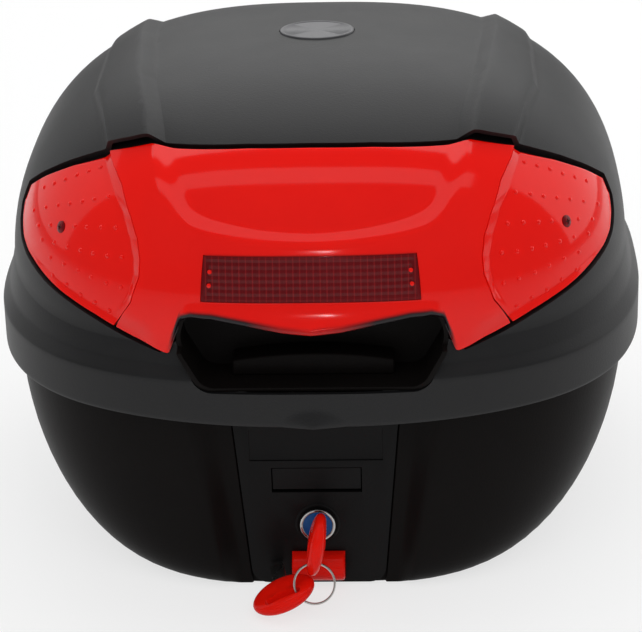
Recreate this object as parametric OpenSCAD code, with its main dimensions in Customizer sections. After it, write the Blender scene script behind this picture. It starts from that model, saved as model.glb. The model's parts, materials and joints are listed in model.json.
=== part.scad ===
// Motorcycle top case: a luggage box with a hinged lid, a red rear lens, a push latch and a cam lock.
// Sizes are in millimetres. X runs to the right, Y from the rear face to the front, Z up.
// The origin is the middle of the underside, on the plane that the case stands on.

/* [Overall] */
// Width over the rim band of the lid
rim_w = 390; // [340:1:480]
// Length over the rim band of the lid
rim_l = 380; // [330:1:460]
// Squareness of the plan outline, where 2 is an ellipse
plan_power = 2.75; // [2.2:0.05:3.6]
// Wall thickness of the base and lid mouldings
wall = 3; // [2:0.1:4]
// Gap between the lid and what it closes on
lid_gap = 0.6; // [0.4:0.1:1.5]
// Gap around a piece that drops into its seat
seat_gap = 0.3; // [0.2:0.05:0.6]
// Running clearance of a turning piece, each side
run_gap = 0.05; // [0.02:0.01:0.1]

/* [Lid] */
// Height of the lower edge of the lid above the ground
skirt_z = 116; // [104:1:126]
// Height of the upright rim band
band_h = 25.5; // [18:0.5:32]
// Height of the sloped ledge above the band
ledge_h = 6.5; // [3:0.5:10]
// Height of the facet between the ledge and the dome
facet_h = 11; // [6:0.5:16]
// Step in from the band to the top of the ledge
ledge_in = 5; // [3:0.5:8]
// Step in from the band to the foot of the dome
dome_in = 8.5; // [5.5:0.5:12]
// Height of the dome above its foot
dome_h = 125; // [100:1:160]
// Roundness of the dome in plan direction
dome_p = 3; // [2.2:0.1:3.6]
// Roundness of the dome in height
dome_q = 2.3; // [1.8:0.1:3]
// Distance from the middle to the inner edge of each roof rib
rib_in = 86; // [76:1:96]
// Distance from the middle to the outer edge of each roof rib
rib_out = 119; // [108:1:128]
// Height of the roof ribs
rib_h = 5.5; // [2:0.5:7]
// Width of the thumb lip under the rear of the band
thumb_w = 36; // [24:1:50]

/* [Lens] */
// Depth of the lens face below the lid surface
lens_sink = 1; // [0.4:0.1:2]
// Thickness of the lens where it is thinnest
lens_t = 3; // [2:0.1:4]
// Gap behind the lens
lens_gap = 1.1; // [0.6:0.1:1.2]
// Rise of the lens outside its central hollow
lens_rise = 3.5; // [1:0.5:5]
// Reach of the lip under the reflector beyond the lens face
lip_out = 6; // [2:0.5:9]
// Angle at which each wing ends, from straight back
wing_end = 68; // [64:0.5:70]
// Width of the reflector
refl_w = 118.5; // [90:0.5:124]
// Height of the reflector
refl_h = 24; // [16:1:28]
// Height of the middle of the reflector above the dome foot
refl_z = 39.5; // [36:0.5:44]
// Width of the badge
badge_w = 45; // [30:1:60]
// Length of the badge
badge_l = 36; // [24:1:44]
// Distance of the badge behind the crown
badge_y = -8.6; // [-20:0.1:40]

/* [Finger pocket] */
// Width of the pocket mouth at the top
pocket_w = 156; // [140:1:158]
// Width of the pocket floor at the mouth
pocket_floor_w = 128; // [110:1:140]
// Height of the pocket floor above the lower edge of the lid
pocket_floor = 18; // [15:0.5:22]
// Height of the pocket inside
pocket_h = 32; // [28:1:36]
// Depth of the pocket behind the band
pocket_d = 40; // [32:1:46]
// Width of the grip bar
grip_w = 92; // [70:1:104]
// Height of the grip bar
grip_h = 13.5; // [10:0.5:18]
// Depth of the grip bar
grip_d = 17; // [10:0.5:22]

/* [Base] */
// Height of the base rim above the ground
base_h = 122; // [110:1:128]
// Step in from the band to the base rim at the sides
base_in_x = 9.3; // [8:0.1:20]
// Step in from the band to the base rim at the ends
base_in_y = 12; // [10:0.5:20]
// Sweep of each side in from the rim to the ground
sweep_x = 76; // [50:1:90]
// Sweep of each end in from the rim to the ground
sweep_y = 13; // [8:0.5:24]
// Sharpness of the lower edge at the ends, where 2 is a quarter ellipse
foot_power = 14; // [6:1:20]
// Half width of the rear channel at the rim
channel_top = 70; // [60:1:80]
// Half width of the rear channel at the ground
channel_foot = 50; // [44:1:58]
// Height of the rubber seal on the base rim
seal_h = 5.5; // [4:0.5:7]
// Width of the rubber seal
seal_w = 5; // [4:0.5:7]
// Half width of the dock pocket in the underside
dock_x = 90; // [70:1:100]
// Half length of the dock pocket in the underside
dock_y = 105; // [80:1:112]
// Depth of the dock pocket
dock_d = 12; // [9:0.5:16]

/* [Lock panel] */
// Distance of the panel face in front of the rim band
panel_in = 23; // [20:0.5:26]
// Thickness of the panel
panel_t = 3; // [2.5:0.1:4]
// Half width of the panel at its top
panel_top = 45.5; // [40:0.5:52]
// Half width of the panel at its foot
panel_foot = 35.5; // [32:0.5:42]
// Depth of the latch room behind the panel
room_d = 21; // [19:0.5:24]
// Height of the press pad middle
pad_z = 69; // [66:0.5:72]
// Width of the press pad
pad_w = 51; // [40:1:56]
// Height of the press pad
pad_h = 14; // [11:0.5:15]
// Height of the latch pivot
pivot_z = 80; // [79:0.5:83]
// Diameter of the latch pivot pin
pivot_d = 3; // [2:0.1:3.5]

/* [Lock and keys] */
// Height of the lock axis
lock_z = 40; // [38:0.5:44]
// Diameter of the chrome lock bezel
bezel_d = 20.8; // [19.5:0.1:24]
// Diameter of the lock body
lock_d = 18; // [16:0.1:19]
// Diameter of the turning plug
plug_d = 14; // [12:0.1:15]
// Diameter of the blue plug face
face_d = 17; // [15.5:0.1:17.6]
// Lean of the key from upright
key_lean = 10; // [0:1:20]
// Width of the key blade
blade_w = 8; // [6:0.1:9]
// Thickness of the key blade
blade_t = 2; // [1.6:0.1:2.4]
// Length of the key blade beyond its head
blade_l = 18; // [16:0.5:20]
// Long size of a key head
head_w = 38; // [30:0.5:42]
// Short size of a key head
head_l = 29; // [22:0.5:32]
// Gap between a key head and the lock face
neck_l = 8; // [4:0.5:10]
// Thickness of a key head
head_t = 8.5; // [6:0.5:10]
// Outer diameter of the split ring
ring_d = 25; // [22:0.5:28]
// Wire thickness of the split ring
ring_t = 1.8; // [1.4:0.1:2.2]

/* [Release button] */
// Height of the button axis
button_z = 13; // [13:0.5:18]
// Width of the button
button_w = 31; // [26:0.5:36]
// Radius of the button front
button_r = 8.5; // [7:0.5:10]

/* [Hinge] */
// Distance of each hinge from the middle
hinge_x = 60; // [40:1:90]
// Distance of the hinge axis in front of the band
hinge_out = 9; // [8:0.5:12]
// Height of the hinge axis below the lower edge of the lid
hinge_drop = 6; // [5:0.5:9]
// Diameter of the hinge pins
hinge_pin_d = 5; // [4:0.1:6]
// Radius of the hinge knuckles
knuckle_r = 6; // [5:0.1:7]
// Width of the lid knuckle
knuckle_w = 20; // [14:1:30]

/* [Hidden] */
$fn = 64;
black = [0.1, 0.1, 0.11];
red = [0.85, 0.08, 0.05];
steel = [0.75, 0.76, 0.78];

// Heights that follow from the lid sizes
band_z = skirt_z + band_h;
ledge_z = band_z + ledge_h;
dome_z = ledge_z + facet_h;
dome_a = rim_w / 2 - dome_in;
dome_b = rim_l / 2 - dome_in;
floor_z = skirt_z + pocket_floor;
roof_z = floor_z + pocket_h;
pocket_wall = 2.5;
pocket_y = -rim_l / 2 + pocket_d;

// Planes of the latch room
panel_y = -rim_l / 2 + panel_in;
panel_back = panel_y + panel_t;
room_y = panel_back + room_d;
panel_low = 2.5;
panel_high = base_h - 3;

// Planes of the lock, from its bezel to its cam
bezel_t = 3;
face_t = 1.5;
face_y = panel_y - bezel_t + 0.2;
plug_y = face_y + face_t;
lock_end = panel_back + 13.8;
cam_y = lock_end + 0.4;
cam_t = 2;

// Planes of the latch
pivot_y = panel_back + 6;
nose_y = pivot_y + 3.8;
hook_y = nose_y + 0.7;
hook_z = 96;

// Place of the hinge axis
hinge_y = rim_l / 2 + hinge_out;
hinge_z = skirt_z - hinge_drop;

// Inner face of the lid hinge leaves, just inside the wall of the band where it curves away
hinge_face = -plan(atan2(hinge_x + knuckle_w / 2, rim_l / 2), rim_w / 2, rim_l / 2)[1] - wall + 0.4;

// Places along a key, measured from its head middle towards the blade
slot_back = 7;
slot_l = 22;
slot_w = 8;
head_y = panel_y - bezel_t - neck_l - head_l / 2;
slot_y = head_y - slot_back;
ring_r = ring_d / 2 - ring_t / 2;
ring_play = 1.6;
ring_x = -(slot_l / 2 - slot_w / 2) * sin(key_lean);
ring_top = lock_z - (slot_l / 2 - slot_w / 2) * cos(key_lean) - (slot_w - ring_t) / 2 + ring_play;
ring_tilt = 22;

// How the spare key hangs: its place on the ring, its roll, its pitch and its turn
spare_turn = 214;
spare_tilt = 22;
spare_pitch = 6;
spare_yaw = 8;
spare_side = slot_l / 2 - slot_w / 2 + 1;
spare_back = slot_back - 0.6;

// Point of the plan outline at an angle from straight back, for given half width and half length
function plan(t, a, b, n = plan_power) =
    let (s = sin(t), c = cos(t), r = pow(pow(abs(s) / a, n) + pow(abs(c) / b, n), -1 / n))
    [r * s, -r * c];

// Scale of the dome outline at a share of its height
function dome_k(q) = pow(1 - pow(q, dome_q), 1 / dome_p);

// Lid profile from its lower edge upwards: height, step in, outline scale
dome_rows = [0.13, 0.27, 0.41, 0.54, 0.66, 0.76, 0.84, 0.905, 0.95, 0.98, 0.995];
lid_rows = concat(
    [[skirt_z, 0.8, 1], [skirt_z + 1.5, 0, 1], [band_z, 0, 1], [ledge_z, ledge_in, 1], [dome_z, dome_in, 1]],
    [for (q = dome_rows) [dome_z + dome_h * q, dome_in, dome_k(q)]]);
lid_angles = [for (i = [0:59]) i * 6];

// Outward direction of the lid profile at one row, as radius and height
function row_radius(i) = (rim_w / 2 - lid_rows[i][1]) * lid_rows[i][2];
function row_normal(i) =
    let (j = max(i - 1, 0), k = min(i + 1, len(lid_rows) - 1))
    let (dz = lid_rows[k][0] - lid_rows[j][0], dr = row_radius(k) - row_radius(j))
    let (l = sqrt(dz * dz + dr * dr))
    [dz / l, -dr / l];
function lid_ring(i, d) =
    let (row = lid_rows[i], n = row_normal(i))
    let (a = (rim_w / 2 - row[1]) * row[2] - d * n[0], b = (rim_l / 2 - row[1]) * row[2] - d * n[0])
    let (z = i == 0 && d > 0 ? row[0] - 2 : row[0] - d * n[1])
    [for (t = lid_angles) let (p = plan(t, a, b)) [p[0], p[1], z]];

// Point of the dome at an angle and a share of its height, moved out by d
function dome_normal(q) =
    let (e = 0.004, dk = dome_a * (dome_k(min(q + e, 1)) - dome_k(max(q - e, 0))))
    let (dz = dome_h * (min(q + e, 1) - max(q - e, 0)), l = sqrt(dz * dz + dk * dk))
    [dz / l, -dk / l];
function dome_point(t, q, d) =
    let (f = max(q, 0), n = dome_normal(f), k = dome_k(f))
    let (p = plan(t, dome_a * k + d * n[0], dome_b * k + d * n[0]))
    [p[0], p[1], dome_z + dome_h * q + d * n[1]];

// Edges of the whole lens and the seam beside its middle piece, as angle and share of the dome height
lens_low = [[0, 0.06], [23, 0.06], [23.4, -0.046], [31.2, 0.012], [35, 0.05], [38.5, 0.085], [43, 0.12],
    [49, 0.16], [54.6, 0.2], [58.7, 0.228], [62.4, 0.266], [65.4, 0.325], [67, 0.377], [68, 0.42], [70, 0.5]];
lens_high = [[0, 0.81], [15, 0.808], [34, 0.792], [37, 0.788], [45, 0.742], [47.5, 0.725], [54.2, 0.652],
    [61, 0.558], [67.6, 0.455], [68, 0.448], [70, 0.41]];
seam = [[0.05, 34.6], [0.07, 34.2], [0.18, 31.2], [0.3, 29.9], [0.375, 30.1], [0.455, 31.2], [0.53, 33.3],
    [0.6, 36], [0.647, 38], [0.685, 40.7], [0.742, 45.6]];
seam_foot = 34.6;
seam_top = 45.6;
hollow = [[0, 0.485], [8, 0.495], [14, 0.51], [19, 0.53], [22.5, 0.552], [25, 0.59], [27, 0.64],
    [29.5, 0.705], [32, 0.75], [35, 0.81], [38, 0.9]];
lip_edge = [[0, 0.074], [5, 0.086], [12.5, 0.118], [17, 0.136], [20.5, 0.138], [22.7, 0.118], [24.5, -0.03],
    [25, -0.036], [31.2, 0.012], [35, 0.05]];

function mix(p, q, f) = p + (q - p) * f;

// A closed solid from rings that rise, with a fan over each end
module loft(rings, top, foot) {
    n = len(rings[0]);
    m = len(rings);
    points = concat([for (r = rings) for (p = r) p], [foot, top]);
    sides = [for (i = [0:m - 2]) for (j = [0:n - 1]) let (k = (j + 1) % n)
        each [[i * n + j, i * n + n + j, i * n + n + k], [i * n + j, i * n + n + k, i * n + k]]];
    feet = [for (j = [0:n - 1]) [m * n, j, (j + 1) % n]];
    tops = [for (j = [0:n - 1]) [m * n + 1, (m - 1) * n + (j + 1) % n, (m - 1) * n + j]];
    polyhedron(points, concat(sides, feet, tops));
}

// A closed solid from an outer and an inner grid of the same size
module sheet(outer, inner) {
    m = len(outer);
    n = len(outer[0]);
    h = m * n;
    points = concat([for (r = outer) for (p = r) p], [for (r = inner) for (p = r) p]);
    faces = [for (i = [0:m - 2]) for (j = [0:n - 2]) let (a = i * n + j, b = a + n)
        each [[a, b, b + 1], [a, b + 1, a + 1], [h + a, h + b + 1, h + b], [h + a, h + a + 1, h + b + 1]]];
    low = [for (j = [0:n - 2]) each [[j, j + 1, h + j + 1], [j, h + j + 1, h + j]]];
    high = [for (j = [0:n - 2]) let (a = (m - 1) * n + j)
        each [[a, h + a + 1, a + 1], [a, h + a, h + a + 1]]];
    left = [for (i = [0:m - 2]) let (a = i * n, b = a + n) each [[a, h + b, b], [a, h + a, h + b]]];
    right = [for (i = [0:m - 2]) let (a = i * n + n - 1, b = a + n) each [[a, b, h + b], [a, h + b, h + a]]];
    polyhedron(points, concat(faces, low, high, left, right));
}

// A free-form moulding, kept as one mesh
module moulded() {
    resize([0, 0, 0]) children();
}

// A box between two corners
module block(p, q) {
    translate(p) cube(q - p);
}

// A rod along Y from one plane to another
module rod_y(d, x, z, y0, y1) {
    translate([x, y1, z]) rotate([90, 0, 0]) cylinder(d = d, h = y1 - y0);
}

// A rod along X from one plane to another
module rod_x(d, y, z, x0, x1) {
    translate([x0, y, z]) rotate([0, 90, 0]) cylinder(d = d, h = x1 - x0);
}

// A flat shape drawn in X and Z, thickened along Y
module plate_y(y0, y1) {
    translate([0, y1, 0]) rotate([90, 0, 0]) linear_extrude(y1 - y0) children();
}

// A flat shape drawn in Y and Z, thickened along X
module plate_x(x0, x1) {
    translate([x0, 0, 0]) rotate([90, 0, 90]) linear_extrude(x1 - x0) children();
}

// The whole lid as a solid, moved in by d
module lid_solid(d) {
    last = len(lid_rows) - 1;
    low = d > 0 ? skirt_z - 2 : skirt_z;
    loft([for (i = [0:last]) lid_ring(i, d)], [0, 0, dome_z + dome_h - d], [0, 0, low]);
}

// The seat of the lens as a solid from one depth to another, widened by a share of the height
module lens_zone(grow, d0, d1) {
    end = wing_end + 0.6 + grow * 40;
    angles = [-1, -0.985, -0.96, -0.92, -0.86, -0.78, -0.7, -0.6, -0.52, -0.42, -0.344, -0.337, -0.22, -0.1];
    shares = concat(angles, [0], [for (i = [len(angles) - 1:-1:0]) -angles[i]]);
    rows = [0, 0.2, 0.4, 0.6, 0.8, 1];
    function at(s, f) = let (t = end * s, u = abs(t) * wing_end / end, l = lookup(u, lens_low) - grow)
        [t, mix(l, lookup(u, lens_high) + grow, f)];
    sheet([for (f = rows) [for (s = shares) let (p = at(s, f)) dome_point(p[0], p[1], d1)]],
        [for (f = rows) [for (s = shares) let (p = at(s, f)) dome_point(p[0], p[1], d0)]]);
}

// Outline of the finger pocket seen from behind, moved in by d
module pocket_shape(d) {
    offset(delta = -d) offset(r = 8) offset(delta = -8)
        polygon([[-pocket_floor_w / 2, floor_z], [pocket_floor_w / 2, floor_z], [pocket_w / 2, dome_z + 2],
            [pocket_w / 2, roof_z], [-pocket_w / 2, roof_z], [-pocket_w / 2, dome_z + 2]]);
}

// Plan of one roof rib
module rib_shape(side) {
    inner = [[-1, -8], [-0.64, 0], [-0.28, 9], [0.2, 17], [1, 19]];
    outer = [[1, 11], [0.25, 12], [-0.22, 12], [-0.57, 0], [-1, -14]];
    polygon([for (p = inner) [side * (rib_in + p[1]), p[0] * rim_l / 2],
        for (p = outer) [side * (rib_out + p[1]), p[0] * rim_l / 2]]);
}

// One ring of the base at a height, with the rear channel and its latch room, moved in by d
function base_depth(x, a, b, n) = -b * pow(max(1 - pow(abs(x) / a, n), 0), 1 / n);
function base_ring(z, d) =
    let (u = min(max(1 - z / base_h, 0), 1), n = 2.9 + 0.5 * u, f = 1 - u)
    let (a = rim_w / 2 - base_in_x - sweep_x * (1 - sqrt(1 - u * u)) - d)
    let (b = rim_l / 2 - base_in_y - sweep_y * (1 - sqrt(1 - pow(u, foot_power))) - d)
    let (co = mix(channel_foot, channel_top, f) + d, pe = mix(panel_foot, panel_top, f) + 0.4 + d)
    let (half = [[pe - 6.4, room_y + d], [pe - 6.2, panel_back + d], [pe - 0.2, panel_back + d],
        [pe, panel_y + 0.5 + d]])
    let (rim = concat([for (i = [3:-1:0]) [-half[i][0], half[i][1]]], [[0, room_y + d]], half))
    let (rear = [for (p = rim) [p[0], max(p[1], base_depth(p[0], a, b, n)), z]])
    let (edge = atan2(co, -base_depth(co, a, b, n)), span = 360 - 2 * edge, steps = 50)
    concat(rear, [for (i = [0:steps]) let (p = plan(edge + span * i / steps, a, b, n)) [p[0], p[1], z]]);

base_rows = [for (f = [0, 0.01, 0.033, 0.075, 0.14, 0.22, 0.33, 0.5, 0.7, 1]) base_h * f];

module base_solid(d) {
    last = len(base_rows) - 1;
    function lift(z) = d > 0 && z == base_h ? base_h + 2 : z + d * pow(1 - z / base_h, 2);
    loft([for (z = base_rows) base_ring(lift(z), d)], [0, 0, lift(base_h)], [0, 0, lift(0)]);
}

// Dock pocket of the underside with its neck to the latch room
module dock_solid(grow, top) {
    translate([0, 0, -1]) linear_extrude(top + 1) offset(r = grow) union() {
        offset(r = 12) square([2 * dock_x - 24, 2 * dock_y - 24], center = true);
        translate([-26, -rim_l / 2]) square([52, rim_l / 2 - dock_y + 10]);
    }
}

// Places of the four panel screws
panel_screw_spots = [for (z = [30, base_h - 20]) for (s = [-1, 1])
    [s * (mix(panel_foot, panel_top, z / base_h) - 3), z]];

module base_shell() {
    color(black) difference() {
        moulded() difference() {
            base_solid(0);
            difference() {
                base_solid(wall);
                dock_solid(wall, dock_d + wall);
            }
            dock_solid(0, dock_d);
        }
        for (p = panel_screw_spots) rod_y(3.4, p[0], p[1], panel_back - 1, panel_back + 6);
    }
}

module panel_outline() {
    offset(r = 10) offset(delta = -10)
        polygon([[-panel_foot, panel_low], [panel_foot, panel_low], [panel_top, panel_high - 0.01],
            [panel_top, panel_high + 20], [-panel_top, panel_high + 20], [-panel_top, panel_high - 0.01]]);
}

module lock_panel() {
    ear = pad_w / 2 + 5;
    color(black) difference() {
        union() {
            plate_y(panel_y, panel_back) intersection() {
                panel_outline();
                translate([-100, 0]) square([200, panel_high]);
            }
            for (s = [-1, 1]) block([s * ear - 2.5, panel_back - 0.5, pivot_z - 4],
                [s * ear + 2.5, pivot_y + 4, pivot_z + 4]);
        }
        rod_y(lock_d + 2 * run_gap, 0, lock_z, panel_y - 1, panel_back + 1);
        block([-pad_w / 2 - 0.6, panel_y - 1, pad_z - pad_h / 2 - 1.5],
            [pad_w / 2 + 0.6, panel_back + 1, pad_z + pad_h / 2 + 0.7]);
        block([-button_w / 2 - lid_gap, panel_y - 1, button_z - button_r - lid_gap],
            [button_w / 2 + lid_gap, panel_back + 1, button_z + button_r + lid_gap]);
        block([-38.5, panel_y - 1, pivot_z + 1], [38.5, panel_y + 0.8, pivot_z + 19]);
        rod_x(pivot_d, pivot_y, pivot_z, -ear - 5, ear + 5);
        for (p = panel_screw_spots) rod_y(2.8, p[0], p[1], panel_y + 0.6, panel_back + 1);
    }
}

module panel_screws() {
    color(steel) for (p = panel_screw_spots) {
        rod_y(3, p[0], p[1], panel_y + 0.8, panel_back + wall);
        rod_y(6, p[0], p[1], panel_back + wall, panel_back + wall + 2);
    }
}

// The rubber seal sits on the base rim and follows it all round
module rim_seal() {
    ring = base_ring(base_h, wall / 2);
    n = len(ring);
    function side(j) = let (p = ring[(j + 1) % n] - ring[(j + n - 1) % n], l = norm([p[0], p[1]]))
        [p[1] / l, -p[0] / l, 0];
    section = [[-seal_w / 2, 0], [seal_w / 2, 0], [seal_w / 2, seal_h - 1.5], [0, seal_h],
        [-seal_w / 2, seal_h - 1.5]];
    m = len(section);
    points = [for (j = [0:n - 1]) for (s = section) ring[j] + side(j) * s[0] + [0, 0, s[1]]];
    faces = [for (j = [0:n - 1]) for (i = [0:m - 1]) let (k = (j + 1) % n, h = (i + 1) % m)
        each [[j * m + i, j * m + h, k * m + h], [j * m + i, k * m + h, k * m + i]]];
    color([0.05, 0.05, 0.05]) polyhedron(points, faces);
}

module hinge_pair() {
    for (s = [-1, 1]) translate([s * hinge_x, 0, 0]) children();
}

module base_hinges() {
    near = knuckle_w / 2 + 0.4;
    color(black) difference() {
        union() {
            hinge_pair() for (s = [-1, 1]) {
                rod_x(2 * knuckle_r, hinge_y, hinge_z, s > 0 ? near : -near - 10, s > 0 ? near + 10 : -near);
                block([s > 0 ? near : -near - 10, rim_l / 2 - base_in_y - 5.5, hinge_z - knuckle_r],
                    [s > 0 ? near + 10 : -near, hinge_y, hinge_z + 2]);
            }
            hinge_pair() block([-near - 10, rim_l / 2 - base_in_y - 5.5, hinge_z - 18],
                [near + 10, rim_l / 2 - base_in_y + 4, hinge_z - knuckle_r + 1]);
        }
        hinge_pair() rod_x(hinge_pin_d, hinge_y, hinge_z, -near - 20, near + 20);
    }
}

module hinge_pins() {
    reach = knuckle_w / 2 + 10.4;
    color(steel) hinge_pair() rod_x(hinge_pin_d, hinge_y, hinge_z, -reach, reach);
}

module lid_hinges() {
    color(black) difference() {
        hinge_pair() union() {
            rod_x(2 * knuckle_r, hinge_y, hinge_z, -knuckle_w / 2, knuckle_w / 2);
            plate_x(-knuckle_w / 2, knuckle_w / 2) polygon([[hinge_face, skirt_z + 4],
                [hinge_face, band_z - 3], [hinge_face + 8.5, band_z - 3],
                [hinge_y + knuckle_r - 0.4, hinge_z + 2],
                [hinge_y - knuckle_r + 0.8, hinge_z + 3]]);
        }
        hinge_pair() rod_x(hinge_pin_d + 2 * run_gap, hinge_y, hinge_z, -knuckle_w, knuckle_w);
    }
}

module hinge_screws() {
    z = skirt_z + band_h * 0.6;
    color(steel) hinge_pair() for (s = [-1, 1]) {
        rod_y(4, s * knuckle_w * 0.3, z, hinge_face - 0.1, hinge_face + 7);
        rod_y(8, s * knuckle_w * 0.3, z, hinge_face - 3, hinge_face);
    }
}

module lock_body() {
    color(steel) difference() {
        union() {
            rod_y(bezel_d, 0, lock_z, panel_y - bezel_t, panel_y);
            rod_y(lock_d, 0, lock_z, panel_y - 0.1, lock_end);
        }
        rod_y(face_d + 4 * run_gap, 0, lock_z, panel_y - bezel_t - 1, plug_y + 0.2);
        rod_y(plug_d + 2 * run_gap, 0, lock_z, panel_y - bezel_t - 1, lock_end + 1);
    }
}

module lock_nut() {
    color(steel) difference() {
        translate([0, panel_back + 3, lock_z]) rotate([90, 0, 0]) cylinder(d = 26, h = 3, $fn = 6);
        rod_y(lock_d, 0, lock_z, panel_back - 1, panel_back + 4);
    }
}

// A key slot along the lock axis, turned with the key
module key_slot(y0, y1, grow) {
    translate([0, 0, lock_z]) rotate([0, key_lean, 0])
        block([-blade_t / 2 - grow, y0, -blade_w / 2 - grow], [blade_t / 2 + grow, y1, blade_w / 2 + grow]);
}

module lock_plug() {
    color(steel) difference() {
        rod_y(plug_d, 0, lock_z, plug_y, cam_y);
        key_slot(plug_y - 1, head_y + head_l / 2 + blade_l + 0.6, 0.2);
        rod_y(3, 0, lock_z, cam_y - 2.5, cam_y + 1);
    }
}

module plug_face() {
    color([0, 0.3, 0.55]) difference() {
        rod_y(face_d, 0, lock_z, face_y, plug_y);
        key_slot(face_y - 1, plug_y + 1, 0.2);
    }
}

// The cam points sideways while the lock is open
module lock_cam() {
    color(steel) plate_y(cam_y, cam_y + cam_t) difference() {
        translate([0, lock_z]) rotate(key_lean) union() {
            circle(d = plug_d - 1);
            translate([0, -4.5]) square([15, 9]);
            translate([15, 0]) circle(d = 9);
        }
        translate([0, lock_z]) circle(d = 3.4);
    }
}

module cam_screw() {
    color(steel) union() {
        rod_y(6.5, 0, lock_z, cam_y + cam_t, cam_y + cam_t + 1.8);
        rod_y(3, 0, lock_z, cam_y - 2.4, cam_y + cam_t + 0.1);
    }
}

// The latch pivot pin is held in the ears of the panel
module pivot_pin() {
    ear = pad_w / 2 + 5;
    color(steel) rod_x(pivot_d, pivot_y, pivot_z, -ear - 2.5, ear + 2.5);
}

// The press pad rocks on the pivot pin and its nose moves clear of the striker
module press_pad() {
    low = pad_z - pad_h / 2;
    high = pad_z + pad_h / 2;
    color(black) difference() {
        union() {
            plate_x(-pad_w / 2, pad_w / 2) polygon([[panel_y, high], [panel_y + 1.2, low],
                [panel_y + 4.2, low],
                [panel_back + 2.4, high - 3], [pivot_y, pivot_z - 3.4], [pivot_y, pivot_z],
                [pivot_y - 3, pivot_z], [panel_back - 0.4, high]]);
            rod_x(7, pivot_y, pivot_z, -pad_w / 2, pad_w / 2);
            plate_x(-20, 20) polygon([[pivot_y - 1.2, pivot_z], [pivot_y + 1.3, pivot_z],
                [pivot_y + 1.3, hook_z + 5], [nose_y, hook_z + 5], [nose_y, hook_z + 6.5],
                [pivot_y + 1.3, hook_z + 9], [pivot_y - 1.2, hook_z + 9]]);
        }
        rod_x(pivot_d + 2 * run_gap, pivot_y, pivot_z, -pad_w, pad_w);
    }
}

// The button front is half a cylinder, and its body goes through the panel
module release_button() {
    y0 = panel_y - 2;
    color(red) union() {
        intersection() {
            rod_x(2 * button_r, y0, button_z, -button_w / 2, button_w / 2);
            block([-button_w, y0 - 2 * button_r, 0], [button_w, y0 + 1, button_z + 2 * button_r]);
        }
        block([-button_w / 2, y0, button_z - button_r],
            [button_w / 2, panel_back + 2.5, button_z + button_r]);
    }
}

// The bolt holds the dock plate with a hook that faces the rear
module release_bolt() {
    y0 = panel_back + 2.5;
    color(steel) union() {
        block([-button_w / 2 - 4, y0, button_z - 7], [button_w / 2 + 4, y0 + 2.5, button_z + 8]);
        block([-8, y0, dock_d - 4], [8, y0 + 36, dock_d - 1]);
        block([-8, y0 + 33, dock_d - 9], [8, y0 + 36, dock_d - 1]);
    }
}

// A compression spring between the bolt and the wall of the latch room
module button_spring() {
    y0 = panel_back + 5;
    y1 = room_y;
    r = 3.4;
    w = 0.45;
    turns = 5;
    steps = 10 * turns;
    points = [for (i = [0:steps]) let (t = 36 * i, y = mix(y0 + w, y1 - w, i / steps))
        for (k = [0:4]) let (q = 72 * k, h = r + w * cos(q))
        [h * sin(t), y + w * sin(q), button_z + 3 + h * cos(t)]];
    faces = [for (i = [0:steps - 1]) for (k = [0:4]) let (h = (k + 1) % 5, a = i * 5, b = a + 5)
        each [[a + k, b + k, b + h], [a + k, b + h, a + h]]];
    first = [for (k = [1:3]) [0, k, k + 1]];
    last = [for (k = [1:3]) [steps * 5, steps * 5 + k + 1, steps * 5 + k]];
    color(steel) polyhedron(points, concat(faces, first, last));
}

// The outside of the lid with its roof ribs and thumb lip
module lid_outside() {
    lid_solid(0);
    intersection() {
        lid_solid(-rib_h);
        translate([0, 0, dome_z + 45]) linear_extrude(dome_h) union() {
            rib_shape(-1);
            rib_shape(1);
        }
    }
    intersection() {
        translate([0, -rim_l / 2 + 1, skirt_z]) scale([thumb_w / 2, 3, 11]) sphere(1, $fn = 32);
        block([-thumb_w, -rim_l, skirt_z], [thumb_w, 0, band_z]);
    }
}

// The lid moulding: a hollow dome with the lens seat, the pocket mouth and a rib over the seal
module lid_shell() {
    seal_a = rim_w / 2 - base_in_x;
    seal_b = rim_l / 2 - base_in_y;
    seal_top = base_h + seal_h + lid_gap;
    color(black) moulded() difference() {
        union() {
            difference() {
                lid_outside();
                difference() {
                    lid_solid(wall);
                    lens_zone(0.04, -lens_sink - lens_t - lens_gap - wall, 12);
                }
            }
            intersection() {
                lid_solid(1);
                difference() {
                    translate([0, 0, seal_top]) linear_extrude(80) difference() {
                        polygon([for (t = lid_angles) plan(t, seal_a + 1, seal_b + 1)]);
                        polygon([for (t = lid_angles) plan(t, seal_a - 2, seal_b - 2)]);
                    }
                    block([-pocket_w / 2 - 3, -rim_l, 0], [pocket_w / 2 + 3, 0, 400]);
                }
            }
        }
        lens_zone(0.014, -lens_sink - lens_t - lens_gap, 14);
        translate([0, -badge_y, dome_z + dome_h - badge_sink]) badge_disc(seat_gap, 6);
        plate_y(-rim_l, pocket_y + 1) pocket_shape(0);
    }
}

// A cup set into the rear of the lid, flush with its outer face
module finger_pocket() {
    color(black) moulded() difference() {
        intersection() {
            plate_y(-rim_l, pocket_y) pocket_shape(0);
            lid_solid(0.2);
        }
        plate_y(-rim_l - 1, pocket_y - pocket_wall) pocket_shape(pocket_wall);
    }
}

module grip_bar() {
    back = pocket_y - pocket_wall;
    foot = floor_z + pocket_wall;
    color(black) plate_y(back - grip_d, back) intersection() {
        translate([-grip_w / 2, foot]) square([grip_w, grip_h]);
        translate([0, foot + grip_h - 250]) circle(r = 250, $fn = 360);
        translate([0, foot - 4]) offset(r = 4) square([grip_w - 8, 2 * grip_h], center = true);
    }
}

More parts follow.
